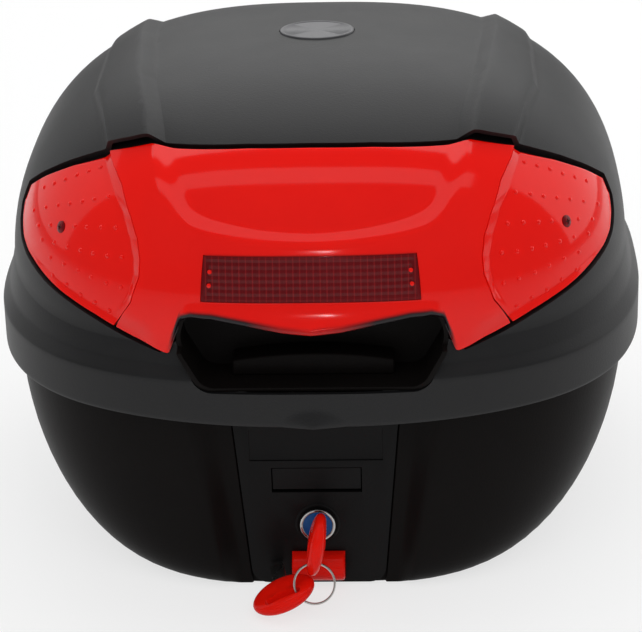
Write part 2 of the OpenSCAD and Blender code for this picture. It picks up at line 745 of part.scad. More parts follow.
// The striker hangs from the pocket floor into the latch room
module striker() {
    color(steel) union() {
        block([-22, hook_y - 9, floor_z - 2.5], [22, hook_y + 6.5, floor_z]);
        block([-20, hook_y + 4, hook_z], [20, hook_y + 6.5, floor_z]);
        block([-20, hook_y, hook_z], [20, hook_y + 4.1, hook_z + 3.5]);
    }
}

module striker_screws() {
    color(steel) for (s = [-1, 1]) translate([s * 14, hook_y - 4, 0]) {
        translate([0, 0, floor_z - 4.5]) cylinder(d = 5, h = 2);
        translate([0, 0, floor_z - 2.6]) cylinder(d = 2.8, h = 4.6);
    }
}

// Face of the middle lens: its height over the dome surface at an angle and a share of the height
function smooth(x) = let (f = min(max(x, 0), 1)) f * f * (3 - 2 * f);
function lip(t, q) =
    lip_out * (1 - smooth((abs(t) - 19) / 4)) * pow(1 - min(max((q - 0.08) / 0.13, 0), 1), 1.5);

// Point of the middle lens at a sideways share u and a row, as angle and share of the height
function lens_mid(u, up) =
    let (w = abs(u), t = seam_top * w, q = min(lookup(t, hollow), lookup(t, lens_high) - 0.03))
    [t, q + (up ? 0.015 : -0.015)];
function lens_row(u, row) =
    let (w = abs(u), foot = [seam_foot * w, lookup(seam_foot * w, lip_edge)])
    let (top = [seam_top * w, lookup(seam_top * w, lens_high)])
    row[0] ? mix(lens_mid(u, true), top, row[1]) : mix(foot, lens_mid(u, false), row[1]);
function lens_at(u, row) =
    let (p = lens_row(u, row), e = lens_row(1, row), shift = lookup(e[1], seam) - 0.3 - e[0])
    [sign(u) * (p[0] + shift * u * u), p[1]];
lens_us = [0, 0.14, 0.28, 0.42, 0.52, 0.6, 0.655, 0.69, 0.71, 0.8, 0.9, 1];
lens_all = concat([for (i = [len(lens_us) - 1:-1:1]) -lens_us[i]], lens_us);
lens_rows = [[false, 0], [false, 0.12], [false, 0.26], [false, 0.42], [false, 0.6], [false, 0.8], [false, 1],
    [true, 0], [true, 0.2], [true, 0.4], [true, 0.6], [true, 0.8], [true, 1]];

module lens_sheet() {
    function rise(p) = lens_rise * (1 - smooth((p[1] - lookup(abs(p[0]), hollow) + 0.02) / 0.04));
    function out(p) = -lens_sink + rise(p) + lip(p[0], p[1]);
    back = -lens_sink - lens_t;
    sheet([for (r = lens_rows) [for (u = lens_all) let (p = lens_at(u, r)) dome_point(p[0], p[1], out(p))]],
        [for (r = lens_rows) [for (u = lens_all) let (p = lens_at(u, r)) dome_point(p[0], p[1], back)]]);
}

// The reflector follows the curve of the lens face
module refl_sheet(grow, d0, d1) {
    x = (refl_w / 2 + grow) / dome_k(refl_z / dome_h);
    half = atan2(x, -base_depth(x, dome_a, dome_b, plan_power));
    low = (refl_z - refl_h / 2 - grow) / dome_h;
    high = (refl_z + refl_h / 2 + grow) / dome_h;
    shares = [for (i = [-6:6]) i / 6];
    rows = [0, 0.5, 1];
    sheet([for (f = rows) [for (s = shares) dome_point(half * s, mix(low, high, f), d1)]],
        [for (f = rows) [for (s = shares) dome_point(half * s, mix(low, high, f), d0)]]);
}
refl_face = lens_rise - lens_sink + 0.6;

module lens_centre() {
    color(red) moulded() difference() {
        lens_sheet();
        refl_sheet(seat_gap, refl_face - 2.6, refl_face + 8);
    }
}

module reflector() {
    color([0.45, 0.05, 0.08]) refl_sheet(0, refl_face - 2.5, refl_face);
}

// Right wing of the lens: a leaf from the seam to its point
function wing_point(u, v) =
    let (t0 = mix(seam_foot + 0.4, wing_end, u), t1 = mix(seam_top + 0.4, wing_end, u))
    let (p = [t0, lookup(t0, lens_low)], q = [t1, lookup(t1, lens_high)])
    let (e0 = seam_foot + 0.4, e1 = seam_top + 0.4)
    let (e = mix([e0, lookup(e0, lens_low)], [e1, lookup(e1, lens_high)], v))
    let (m = mix(p, q, v), shift = lookup(e[1], seam) + 0.3 - e[0])
    [m[0] + shift * pow(1 - u, 2), m[1]];

module wing() {
    us = [0, 0.06, 0.16, 0.28, 0.41, 0.54, 0.67, 0.79, 0.89, 0.96, 1];
    vs = [0, 0.1, 0.25, 0.42, 0.6, 0.77, 0.91, 1];
    sheet([for (v = vs) [for (u = us) let (p = wing_point(u, v)) dome_point(p[0], p[1], -lens_sink)]],
        [for (v = vs) [for (u = us) let (p = wing_point(u, v)) dome_point(p[0], p[1], -lens_sink - lens_t)]]);
}

module lens_right() {
    color(red) wing();
}

module lens_left() {
    color(red) mirror([1, 0, 0]) wing();
}

// Each wing is held by one screw that goes through the shell into the lens
module lens_screws() {
    q = 0.418;
    t = 49.4;
    p = dome_point(t, q, -lens_sink - 1);
    n = dome_point(t, q, 1) - dome_point(t, q, 0);
    tilt = acos(n[2]);
    turn = atan2(n[1], n[0]);
    color(black) for (s = [0, 1]) mirror([s, 0, 0]) translate(p) rotate([0, tilt, turn]) union() {
        translate([0, 0, -9]) cylinder(d = 3.5, h = 9);
        translate([0, 0, -11]) cylinder(d = 7, h = 2.2);
    }
}

// An oval disc of the badge outline, widened by grow
badge_sink = 0.9;
module badge_disc(grow, h) {
    scale([(badge_w + 2 * grow) / (badge_l + 2 * grow), 1, 1]) cylinder(d = badge_l + 2 * grow, h = h);
}

// A plain oval badge in a shallow seat on the roof, behind the crown
module badge() {
    color([0.2, 0.2, 0.22]) translate([0, -badge_y, dome_z + dome_h - badge_sink])
        badge_disc(0, badge_sink + 1);
}

// A key head lying flat: its long size along X, the blade towards Y
module head_body() {
    difference() {
        intersection() {
            translate([0, 0, -head_t / 2]) linear_extrude(head_t)
                scale([head_w / head_l, 1]) circle(d = head_l);
            scale([head_w * 0.62, head_l * 0.68, head_t / 2]) sphere(1, $fn = 40);
        }
        translate([0, -slot_back, -head_t]) linear_extrude(2 * head_t) offset(r = slot_w / 2 - 0.01)
            square([slot_l - slot_w, 0.02], center = true);
        block([-blade_w / 2, head_l / 2 - 8, -blade_t / 2], [blade_w / 2, head_l, blade_t / 2]);
    }
}

module blade_body() {
    block([-blade_w / 2, head_l / 2 - 8, -blade_t / 2], [blade_w / 2, head_l / 2 + blade_l, blade_t / 2]);
}

// The key stands on edge in the lock
module in_lock() {
    translate([0, head_y, lock_z]) rotate([0, 90 + key_lean, 0]) children();
}

module key_head() {
    color(red) in_lock() head_body();
}

module key_blade() {
    color(steel) in_lock() blade_body();
}

// The split ring hangs in the slot of the key and leans out from the case
module on_ring() {
    translate([ring_x, slot_y, ring_top]) rotate([-ring_tilt, 0, 0]) translate([0, 0, -ring_r]) children();
}

module key_ring() {
    color(steel) on_ring() rotate([90, 0, 0]) rotate_extrude()
        translate([ring_r, 0]) circle(d = ring_t, $fn = 24);
}

// The spare key rides on the ring with its slot around the wire
module on_spare() {
    on_ring() rotate([0, 90 - spare_turn, 0]) translate([0, 0, ring_r]) rotate([0, spare_turn - 90, 0])
        rotate([ring_tilt, 0, 0]) rotate([0, -spare_tilt, 0]) rotate([spare_pitch, 0, spare_yaw])
        translate([-spare_side, spare_back, 0]) children();
}

module spare_key_head() {
    color(red) on_spare() head_body();
}

module spare_key_blade() {
    color(steel) on_spare() blade_body();
}

base_shell();
lock_panel();
panel_screws();
rim_seal();
base_hinges();
hinge_pins();
lock_body();
lock_nut();
pivot_pin();
lid_shell();
finger_pocket();
grip_bar();
striker();
striker_screws();
lens_centre();
lens_left();
lens_right();
reflector();
lens_screws();
badge();
lid_hinges();
hinge_screws();
lock_plug();
plug_face();
lock_cam();
cam_screw();
key_head();
key_blade();
key_ring();
spare_key_head();
spare_key_blade();
press_pad();
release_button();
release_bolt();
button_spring();
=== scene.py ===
# %% [markdown]
# # A motorcycle top case, finished in Blender
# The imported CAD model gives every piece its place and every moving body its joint. This lesson builds the
# pieces that show: the domed lid, the red lens, the tub, the lock and the keys. Each cell makes one piece.
# All places come from the frame, which is in metres with the rear of the case towards -Y. The numbers in
# this lesson are in millimetres, because that is how such a moulding is drawn.

# %% Load the frame
import json
import math

import bpy
import numpy as np
from mathutils import Matrix, Vector

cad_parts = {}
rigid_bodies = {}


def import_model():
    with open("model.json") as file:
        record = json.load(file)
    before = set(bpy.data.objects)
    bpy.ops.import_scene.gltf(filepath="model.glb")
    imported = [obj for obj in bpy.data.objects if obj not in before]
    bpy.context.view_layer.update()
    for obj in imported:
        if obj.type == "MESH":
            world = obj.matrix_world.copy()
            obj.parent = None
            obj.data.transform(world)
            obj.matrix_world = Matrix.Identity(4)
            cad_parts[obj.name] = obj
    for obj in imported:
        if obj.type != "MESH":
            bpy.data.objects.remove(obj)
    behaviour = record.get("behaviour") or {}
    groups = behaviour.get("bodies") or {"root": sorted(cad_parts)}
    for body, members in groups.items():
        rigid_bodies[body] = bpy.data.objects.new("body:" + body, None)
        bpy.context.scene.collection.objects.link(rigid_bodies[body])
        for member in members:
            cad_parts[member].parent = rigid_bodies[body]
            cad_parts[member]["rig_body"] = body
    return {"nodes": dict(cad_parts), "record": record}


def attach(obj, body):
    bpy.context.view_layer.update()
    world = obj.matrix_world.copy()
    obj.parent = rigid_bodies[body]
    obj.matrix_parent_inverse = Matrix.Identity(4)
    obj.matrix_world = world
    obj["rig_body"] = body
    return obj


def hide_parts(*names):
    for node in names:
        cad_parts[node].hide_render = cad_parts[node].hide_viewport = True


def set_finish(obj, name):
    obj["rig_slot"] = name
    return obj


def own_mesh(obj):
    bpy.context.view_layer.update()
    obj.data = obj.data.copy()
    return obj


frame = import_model()
nodes = frame["nodes"]
slot_of = {part["node"]: part["material_slot"] for part in frame["record"]["subparts"]}
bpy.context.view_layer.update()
MM, TINY = 0.001, 0.00002

# %% [markdown]
# ## Working by operators
# A new primitive is added to whatever is selected, so each piece starts with nothing selected. Edit-mode
# operators act on the selection, and these few helpers keep that selection clean. When a piece is done it is
# smoothed and booked: it replaces its CAD node, rides on that node's body and takes the node's finish.

# %% Helpers for selection, modifiers and booking
def start_clean():
    if bpy.context.object and bpy.context.object.mode != "OBJECT":
        bpy.ops.object.mode_set(mode="OBJECT")
    bpy.ops.object.select_all(action="DESELECT")


def take(piece):
    start_clean()
    piece.select_set(True)
    bpy.context.view_layer.objects.active = piece
    return piece


def named(name):
    piece = bpy.context.object
    piece.name = name
    piece.data.name = name
    return piece


def settled(name):
    bpy.ops.object.transform_apply(location=True, rotation=True, scale=True)
    return named(name)


def drop(piece):
    bpy.data.objects.remove(piece, do_unlink=True)


def edit_all(piece, *steps):
    take(piece)
    bpy.ops.object.mode_set(mode="EDIT")
    bpy.ops.mesh.select_all(action="SELECT")
    for step in steps:
        step()
    bpy.ops.object.mode_set(mode="OBJECT")
    return piece


def select_only(piece, kind, wanted):
    take(piece)
    bpy.ops.object.mode_set(mode="EDIT")
    bpy.ops.mesh.select_mode(type=kind)
    bpy.ops.mesh.select_all(action="DESELECT")
    bpy.ops.object.mode_set(mode="OBJECT")
    for part in piece.data.edges if kind == "EDGE" else piece.data.polygons:
        part.select = wanted(part)
    bpy.ops.object.mode_set(mode="EDIT")


def leave_edit():
    bpy.ops.mesh.select_mode(type="VERT")
    bpy.ops.object.mode_set(mode="OBJECT")


def extrude(*way):
    bpy.ops.mesh.extrude_region_move(TRANSFORM_OT_translate={"value": way})


def face_out():
    bpy.ops.mesh.normals_make_consistent(inside=False)


def apply_modifier(piece, kind, **values):
    take(piece)
    modifier = piece.modifiers.new(kind.lower(), kind)
    for key, value in values.items():
        setattr(modifier, key, value)
    bpy.ops.object.modifier_apply(modifier=modifier.name)
    return piece


def round_edges(piece, width, segments=3, degrees=40):
    return apply_modifier(piece, "BEVEL", width=width * MM, segments=segments, limit_method="ANGLE",
                          angle_limit=math.radians(degrees), use_clamp_overlap=True)


def thicken(piece, wall, even=False):
    return apply_modifier(piece, "SOLIDIFY", thickness=wall * MM, offset=-1.0, use_even_offset=even)


def carve(piece, cutter, operation="DIFFERENCE"):
    apply_modifier(piece, "BOOLEAN", object=cutter, operation=operation, solver="MANIFOLD")
    drop(cutter)
    return piece


def turn_outwards(piece, centre=(0, 0, 150)):
    away = sum((polygon.center - Vector(centre) * MM).dot(polygon.normal) * polygon.area
               for polygon in piece.data.polygons)
    if away < 0:
        edit_all(piece, bpy.ops.mesh.flip_normals)
    return piece


def smooth_by_angle(piece, degrees):
    edit_all(piece, lambda: bpy.ops.mesh.dissolve_degenerate(threshold=TINY))
    take(piece)
    bpy.ops.object.shade_smooth_by_angle(angle=math.radians(degrees))


def move(x, y, z):
    return Matrix.Translation(Vector((x, y, z)) * MM)


def spin(axis, degrees):
    return Matrix.Rotation(math.radians(degrees), 4, axis)


def place(piece, matrix):
    for vertex in piece.data.vertices:
        vertex.co = matrix @ vertex.co
    return piece


def copy_onto(piece, name, matrix):
    other = bpy.data.objects.new(name, piece.data.copy())
    bpy.context.collection.objects.link(other)
    return place(other, matrix)


def join(pieces, name):
    take(pieces[0])
    for other in pieces[1:]:
        other.select_set(True)
    bpy.ops.object.join()
    return named(name)


made = []


def book(piece, body, slot, *replaced, angle=40):
    smooth_by_angle(piece, angle)
    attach(piece, body)
    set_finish(piece, slot)
    if replaced:
        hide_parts(*replaced)
    made.append(piece)
    print(piece.name, len(piece.data.polygons), "faces")
    return piece


# %% [markdown]
# ## Lofts, sheets, prisms and blocks
# A few ways of starting a piece do nearly all the work. A lofted skin starts as a circle that is extruded once
# for each ring, and the rings are then set to their outlines; a turned piece is a loft with round rings. A draped
# sheet starts as a grid and is laid on a surface that a function describes. A prism starts as a filled polygon
# that is extruded along Y, and a block is a cube between two corners.

# %% Lofted skins, draped sheets, prisms and blocks
STEP = 0.01


def turn_index(co, count):
    return round((math.atan2(co.y, co.x) - math.pi / 2) / math.tau * count) % count


def loft_skin(name, rings, top=None, foot=None):
    count = len(rings[0])
    start_clean()
    bpy.ops.mesh.primitive_circle_add(vertices=count, radius=1, fill_type="NOTHING")
    piece = named(name)
    bpy.ops.object.mode_set(mode="EDIT")
    bpy.ops.mesh.select_all(action="SELECT")
    if foot:
        bpy.ops.mesh.edge_face_add()
        bpy.ops.mesh.poke()
        bpy.ops.mesh.select_mode(type="EDGE")
        bpy.ops.mesh.select_all(action="DESELECT")
        bpy.ops.mesh.select_non_manifold(extend=False)
    for _ in rings[1:]:
        extrude(0, 0, STEP)
    if top:
        bpy.ops.mesh.edge_face_add()
        bpy.ops.mesh.poke()
    leave_edit()
    for vertex in piece.data.vertices:
        row = round(vertex.co.z / STEP)
        if vertex.co.xy.length < 0.5:
            vertex.co = Vector(foot if row == 0 else top) * MM
        else:
            vertex.co = Vector(rings[row][turn_index(vertex.co, count)]) * MM
    return piece


def turned(name, profile, count=32, top=None):
    rings = [[(r * math.cos(i * math.tau / count), r * math.sin(i * math.tau / count), z) for i in range(count)]
             for r, z in profile]
    foot = profile[0][1]
    piece = loft_skin(name, rings, top=top and (0, 0, top), foot=top and (0, 0, foot))
    return turn_outwards(piece, (0, 0, (foot + profile[-1][1]) / 2))


def drape_sheet(name, across, up, surface, back=None):
    start_clean()
    bpy.ops.mesh.primitive_grid_add(x_subdivisions=across, y_subdivisions=up, size=1)
    piece = named(name)
    if back:
        edit_all(piece, lambda: extrude(0, 0, -1))
    for vertex in piece.data.vertices:
        u, v = vertex.co.x + 0.5, vertex.co.y + 0.5
        lay = back if vertex.co.z < -0.5 else surface
        vertex.co = Vector(lay(u, v)) * MM
    return piece


def prism(name, points, y0, y1, corner=0.0):
    start_clean()
    bpy.ops.mesh.primitive_circle_add(vertices=len(points), radius=1, fill_type="NGON")
    piece = named(name)
    for vertex in piece.data.vertices:
        x, z = points[turn_index(vertex.co, len(points))]
        vertex.co = Vector((x, y0, z)) * MM
    edit_all(piece, lambda: extrude(0, (y1 - y0) * MM, 0))
    edit_all(piece, face_out)
    if corner:
        ends = piece.data.vertices
        select_only(piece, "EDGE", lambda edge: len({round(ends[i].co.y, 4) for i in edge.vertices}) > 1)
        bpy.ops.mesh.bevel(offset=corner * MM, segments=6, affect="EDGES")
        leave_edit()
    return piece


def block(name, low, high):
    start_clean()
    size = [(b - a) * MM for a, b in zip(low, high)]
    bpy.ops.mesh.primitive_cube_add(size=1, location=[(a + b) / 2 * MM for a, b in zip(low, high)], scale=size)
    return settled(name)


# %% [markdown]
# ## The form of the dome
# The plan of the lid is a superellipse, squarer than an oval. Going up, the outline shrinks by a second
# superellipse, so the dome has full shoulders and a flat crown. Every piece on the lid is laid on this one
# function, by an angle from straight back, a share of the dome's height and a distance off the surface.

# %% The dome function
RIM_W, RIM_L = 390.0, 380.0
DOME_A, DOME_B, DOME_Z, DOME_H = 186.5, 181.5, 159.0, 125.0
DOME_P, DOME_Q, PLAN_POWER = 3.0, 2.3, 2.75


def plan(t, a, b, n=PLAN_POWER):
    s, c = math.sin(math.radians(t)), math.cos(math.radians(t))
    r = ((abs(s) / a) ** n + (abs(c) / b) ** n) ** (-1 / n)
    return r * s, -r * c


def depth(x, a, b, n=PLAN_POWER):
    return -b * max(1 - (abs(x) / a) ** n, 0.0) ** (1 / n)


def dome_k(q):
    return max(1 - min(max(q, 0.0), 1.0) ** DOME_Q, 0.0) ** (1 / DOME_P)


def dome_normal(q):
    low, high = max(q - 0.004, 0.0), min(q + 0.004, 1.0)
    across, rise = DOME_A * (dome_k(high) - dome_k(low)), DOME_H * (high - low)
    length = math.hypot(across, rise)
    return rise / length, -across / length


def dome_point(t, q, d):
    n_out, n_up = dome_normal(max(q, 0.0))
    k = dome_k(q)
    x, y = plan(t, DOME_A * k + d * n_out, DOME_B * k + d * n_out)
    return x, y, DOME_Z + DOME_H * q + d * n_up


def table(x, pairs):
    return float(np.interp(x, [p[0] for p in pairs], [p[1] for p in pairs]))


def clamp(x):
    return min(max(x, 0.0), 1.0)


def smooth(x):
    f = clamp(x)
    return f * f * (3 - 2 * f)


def mix(p, q, f):
    return p + (q - p) * f


print("crown at", DOME_Z + DOME_H, "mm")

# %% [markdown]
# ## The lid skin
# The lid is one moulding: an upright rim band, a sloped ledge and the dome. It could be sculpted from a sphere,
# but a loft keeps the exact outline, so a circle is extruded ring by ring. The band hangs a little lower at the
# rear, where the thumb goes.

# %% Loft the lid
LID_LOW = [(116.0, 1.2), (116.4, 0.45), (117.2, 0.08), (118.4, 0), (119.8, 0), (121.2, 0), (122.6, 0),
           (124.0, 0), (125.4, 0), (127, 0), (130, 0), (134, 0), (138, 0), (140.4, 0), (141.3, 0.2),
           (142.2, 0.8), (144.4, 2.4), (146.6, 4.1), (147.6, 4.75), (148.8, 5.2), (152, 6.2), (156, 7.5),
           (158.2, 8.25)]
LID_COLUMNS = ([i * 0.5 for i in range(0, 15)] + [7.5 + i * 1.5 for i in range(0, 45)]
               + [75 + i * 3.0 for i in range(0, 35)])
LID_COLUMNS = LID_COLUMNS + [180.0] + [360 - t for t in reversed(LID_COLUMNS[1:])]
LID_WALL, BAND_Z = 3.0, 141.5
LEDGE_RISE, LEDGE_FROM, LEDGE_OVER = 9.0, 38.0, 38.0
REAR_DIP, DIP_FROM, DIP_OVER, DIP_Z, DIP_FADE = 2.8, 4.0, 34.0, 130.0, 14.0
DOME_ROWS, DOME_TURN = 50, 88.0


def from_rear(t):
    return min(t, 360 - t)


def ledge_rise(t):
    aside = min(from_rear(t), 180 - from_rear(t))
    return LEDGE_RISE * smooth((aside - LEDGE_FROM) / LEDGE_OVER)


def skirt_z(t, z):
    dip = REAR_DIP * (1 - smooth((from_rear(t) - DIP_FROM) / DIP_OVER)) * clamp((DIP_Z - z) / DIP_FADE)
    return z - dip + ledge_rise(t) * clamp((z - BAND_Z) / (DOME_Z - BAND_Z))


def lid_rings():
    rings = []
    for z, inset in LID_LOW:
        rings.append([(*plan(t, RIM_W / 2 - inset, RIM_L / 2 - inset), skirt_z(t, z)) for t in LID_COLUMNS])
    for step in range(DOME_ROWS):
        angle = math.radians(step * DOME_TURN / (DOME_ROWS - 1))
        share = math.sin(angle) ** (2 / DOME_Q)
        rings.append([dome_point(t, mix(ledge_rise(t) / DOME_H, 1, share), 0) for t in LID_COLUMNS])
    return rings


lid = loft_skin("lid_dome", lid_rings(), top=(0, 0, DOME_Z + DOME_H))
turn_outwards(lid)
print("lid skin", len(lid.data.vertices), "points")

# %% [markdown]
# ## Roof ribs and thumb lip
# Two broad ribs run over the roof from the lens to the front, and widen away from each other on the way. Their
# walls need crisp edges, so the skin is bisected along each line where the slope changes, one stretch of the
# roof at a time, and the points between those lines are lifted along the surface. The thumb lip is a tilted
# half-moon at the lower edge of the band.

# %% Raise the ribs and the thumb lip
RIB_H = [(-125, 8.4), (-90, 7.4), (-40, 6.0), (20, 5.0), (190, 4.6)]
RIB_INNER_LINE = [(-195, 70.2), (-122, 82), (-54, 93), (37, 101), (195, 103)]
RIB_OUTER_LINE = [(-195, 97), (-110, 113), (-42, 127), (47, 128), (195, 126)]
RIB_INNER = [(-0.3, 0.0), (0.7, 0.1), (6.6, 0.94), (7.6, 1.0)]
RIB_OUTER = [(-1.2, 1.0), (0.4, 0.93), (4.4, 0.08), (5.8, 0.0)]
RIB_RAMP = [(-120, 0.9), (-40, 0.65), (20, 0.45), (190, 0.45)]
RIB_FLAT, RIB_SLOPE, RIB_FOOT_Z, RIB_FADE = 8.0, 24.0, 196.0, 26.0
ROOF_Z, ROOF_X, RIBS_ABOVE = 185.0, 60.0, 190.0
THUMB_OUT, THUMB_W, THUMB_Z, THUMB_H, THUMB_BELOW, REAR_Y = 3.6, 18.2, 113.2, 10.5, 128.0, -150.0


def cut_roof(piece, wanted, first, second):
    line = Vector((second[0] - first[0], second[1] - first[1], 0))
    select_only(piece, "FACE", lambda face: wanted(face.center / MM))
    bpy.ops.mesh.bisect(plane_co=(first[0] * MM, first[1] * MM, 0),
                        plane_no=line.cross(Vector((0, 0, 1))).normalized())
    leave_edit()


def on_roof(c):
    return c.z > ROOF_Z and abs(c.x) > ROOF_X


for lines, offsets in ((RIB_INNER_LINE, RIB_INNER), (RIB_OUTER_LINE, RIB_OUTER)):
    for y, _ in lines[1:-1]:
        cut_roof(lid, on_roof, (0, y), (1, y))
    for (y0, x0), (y1, x1) in zip(lines, lines[1:]):
        for side in (-1, 1):
            for offset, _ in offsets:
                cut_roof(lid, lambda c: on_roof(c) and y0 < c.y < y1 and c.x * side > 0,
                         (side * (x0 + offset), y0), (side * (x1 + offset), y1))


def rib_lift(x, y, z):
    past_inner = abs(x) - table(y, RIB_INNER_LINE)
    inner, outer = table(past_inner, RIB_INNER), table(abs(x) - table(y, RIB_OUTER_LINE), RIB_OUTER)
    ramp = mix(1.0, table(y, RIB_RAMP), clamp((past_inner - RIB_FLAT) / RIB_SLOPE))
    return table(y, RIB_H) * inner * outer * ramp * smooth((z - RIB_FOOT_Z) / RIB_FADE)


def thumb_lift(x, y, z):
    away = math.hypot(x / THUMB_W, (z - THUMB_Z) / THUMB_H)
    return THUMB_OUT * max(0.0, 1 - away) if y < REAR_Y else 0.0


take(lid)
normals = [vertex.normal.copy() for vertex in lid.data.vertices]
for vertex, normal in zip(lid.data.vertices, normals):
    x, y, z = vertex.co / MM
    if z > RIBS_ABOVE:
        vertex.co += normal * rib_lift(x, y, z) * MM
    elif z < THUMB_BELOW:
        vertex.co.y -= thumb_lift(x, y, z) * MM
thicken(lid, LID_WALL)
print("lid wall", len(lid.data.polygons), "faces")

# %% [markdown]
# ## The lens seat and the pocket mouth
# The lens lies in a seat sunk into the lid. A pad is joined behind it and the seat is cut out of both, with a
# narrow gap all round that reads as the dark shadow line. The mouth of the finger pocket and the seat of the
# badge are cut the same way. Boolean cutters are draped sheets with a back, a prism and a flattened cylinder.

# %% Cut the seat, the pocket mouth and the badge seat
LENS_LOW = [(0, 0.06), (23, 0.06), (23.4, -0.046), (31.2, 0.012), (35, 0.05), (38.5, 0.085), (43, 0.12),
            (49, 0.16), (54.6, 0.2), (58.7, 0.228), (62.4, 0.266), (65.4, 0.325), (67, 0.377), (68, 0.42),
            (70, 0.5)]
LENS_HIGH = [(0, 0.81), (15, 0.808), (34, 0.792), (37, 0.788), (45, 0.742), (47.5, 0.725), (54.2, 0.652),
             (61, 0.558), (67.6, 0.455), (68, 0.448), (70, 0.41)]
WING_END = 67.2
ZONE_SHARES = [-1, -0.985, -0.96, -0.92, -0.86, -0.78, -0.7, -0.6, -0.52, -0.42, -0.344, -0.337, -0.28, -0.22,
               -0.16, -0.1, -0.05]
ZONE_SHARES = ZONE_SHARES + [0] + [-s for s in reversed(ZONE_SHARES)]
SEAT_PAD, SEAT_CUT, END_GAP, END_GROW = (0.035, -7.6, -1.5), (0.011, -5.1, 14), 0.6, 40.0
MOUTH = [(-64, 134), (64, 134), (78, 161), (73, 180), (-73, 180), (-78, 161)]
MOUTH_OUT, MOUTH_BACK, MOUTH_CORNER = -215.0, -149.0, 7.0
BADGE_W, BADGE_L, BADGE_Y, BADGE_Z, BADGE_GAP, BADGE_CUT = 45.0, 36.0, 8.6, DOME_Z + DOME_H - 0.9, 0.5, 6.0


def zone_point(u, v, grow, d):
    end = WING_END + END_GAP + grow * END_GROW
    share = table(u, [(i / (len(ZONE_SHARES) - 1), s) for i, s in enumerate(ZONE_SHARES)])
    t = end * share
    w = abs(t) * WING_END / end
    q = mix(table(w, LENS_LOW) - grow, table(w, LENS_HIGH) + grow, v)
    return dome_point(t, q, d)


def lens_zone(name, grow, d0, d1):
    across = len(ZONE_SHARES) - 1
    zone = drape_sheet(name, across * 2, 22, lambda u, v: zone_point(u, v, grow, d1),
                       lambda u, v: zone_point(u, v, grow, d0))
    return turn_outwards(zone, zone_point(0.5, 0.5, grow, (d0 + d1) / 2))


carve(lid, lens_zone("seat_pad", *SEAT_PAD), "UNION")
carve(lid, lens_zone("seat_cut", *SEAT_CUT))
carve(lid, prism("mouth_cut", MOUTH, MOUTH_OUT, MOUTH_BACK, MOUTH_CORNER))
start_clean()
bpy.ops.mesh.primitive_cylinder_add(vertices=96, radius=1, depth=1,
                                    location=(0, BADGE_Y * MM, (BADGE_Z + BADGE_CUT / 2) * MM))
bpy.context.object.scale = [size * MM for size in (BADGE_W / 2 + BADGE_GAP, BADGE_L / 2 + BADGE_GAP, BADGE_CUT)]
carve(lid, settled("badge_cut"))
book(lid, "lid", "lid_grey", "lid_shell", angle=30)

# %% [markdown]
# ## The tub
# The tub is lofted like the lid. Its rear has a shallow channel for the lock panel, so each ring leaves the
# outline there, steps in to the channel and goes round the latch room behind the panel. Underneath, a pocket
# with a neck takes the carrier plate of the motorcycle: its walls are joined first and its room is then cut.

# %% Loft the tub and cut its dock pocket
BASE_H, PANEL_Y, PANEL_BACK, ROOM_Y, TUB_WALL = 122.0, -167.0, -164.0, -143.0, 3.0
TUB_SHARES = [0, 0.006, 0.016, 0.03, 0.05, 0.075, 0.105, 0.14, 0.18, 0.225, 0.275, 0.33, 0.39, 0.455, 0.525, 0.6,
              0.68, 0.765, 0.855, 0.95, 1]
SIDE_INSET, SIDE_SWEEP, END_INSET, END_SWEEP = 9.3, 76.0, 12.0, 13.0
CHANNEL_FOOT, CHANNEL_TOP, CHANNEL_SINK, CHANNEL_STEPS = 56.0, 76.0, 0.45, 12
DOCK_X, DOCK_Y, DOCK_D, DOCK_NECK, NECK_Y, DOCK_CORNER = 90.0, 105.0, 12.0, 26.0, -142.0, 9.0
PANEL_FOOT, PANEL_TOP, PANEL_LOW, PANEL_HIGH, PANEL_CORNER = 38.6, 49.0, 1.0, 119.0, 9.0


def tub_ring(z, steps=110):
    u = clamp(1 - z / BASE_H)
    n, f = 2.9 + 0.5 * u, 1 - u
    a = RIM_W / 2 - SIDE_INSET - SIDE_SWEEP * (1 - math.sqrt(1 - u * u))
    b = RIM_L / 2 - END_INSET - END_SWEEP * (1 - math.sqrt(1 - u ** 14))
    edge = mix(CHANNEL_FOOT, CHANNEL_TOP, f)
    seat = mix(PANEL_FOOT, PANEL_TOP, f) + 0.4
    half = [(0.0, ROOM_Y), (seat - 6.6, ROOM_Y), (seat - 6.4, PANEL_BACK), (seat - 0.3, PANEL_BACK),
            (seat, PANEL_Y + 1.0), (seat + 0.6, PANEL_Y + CHANNEL_SINK)]
    bend = mix(seat, edge, 0.3)
    for i in range(1, CHANNEL_STEPS + 1):
        x = mix(seat + 0.6, edge, i / CHANNEL_STEPS)
        sink = 1 - smooth((x - bend) / (edge - bend))
        half.append((x, mix(depth(x, a, b, n), PANEL_Y + CHANNEL_SINK, sink)))
    half = [(x, max(y, depth(x, a, b, n))) for x, y in half]
    angle = math.degrees(math.atan2(edge, -depth(edge, a, b, n)))
    flank = [plan(angle + (360 - 2 * angle) * i / steps, a, b, n) for i in range(1, steps)]
    left = [(-x, y) for x, y in reversed(half[1:])]
    return [(x, y, z) for x, y in half + flank + left]


def dock_block(name, grow, top):
    x, y, neck, end, c = DOCK_X + grow, DOCK_Y + grow, DOCK_NECK + grow, NECK_Y - grow, DOCK_CORNER
    half = [(neck, end), (neck, -y), (x - c, -y), (x, -y + c), (x, y - c), (x - c, y)]
    outline = half[1:] + [(-px, py) for px, py in reversed(half)] + half[:1]
    low = -2 if grow == 0 else 0.6
    rings = [[(px, py, z) for px, py in outline] for z in (low, top)]
    return edit_all(loft_skin(name, rings, top=(0, 0, top), foot=(0, 0, low)), face_out)


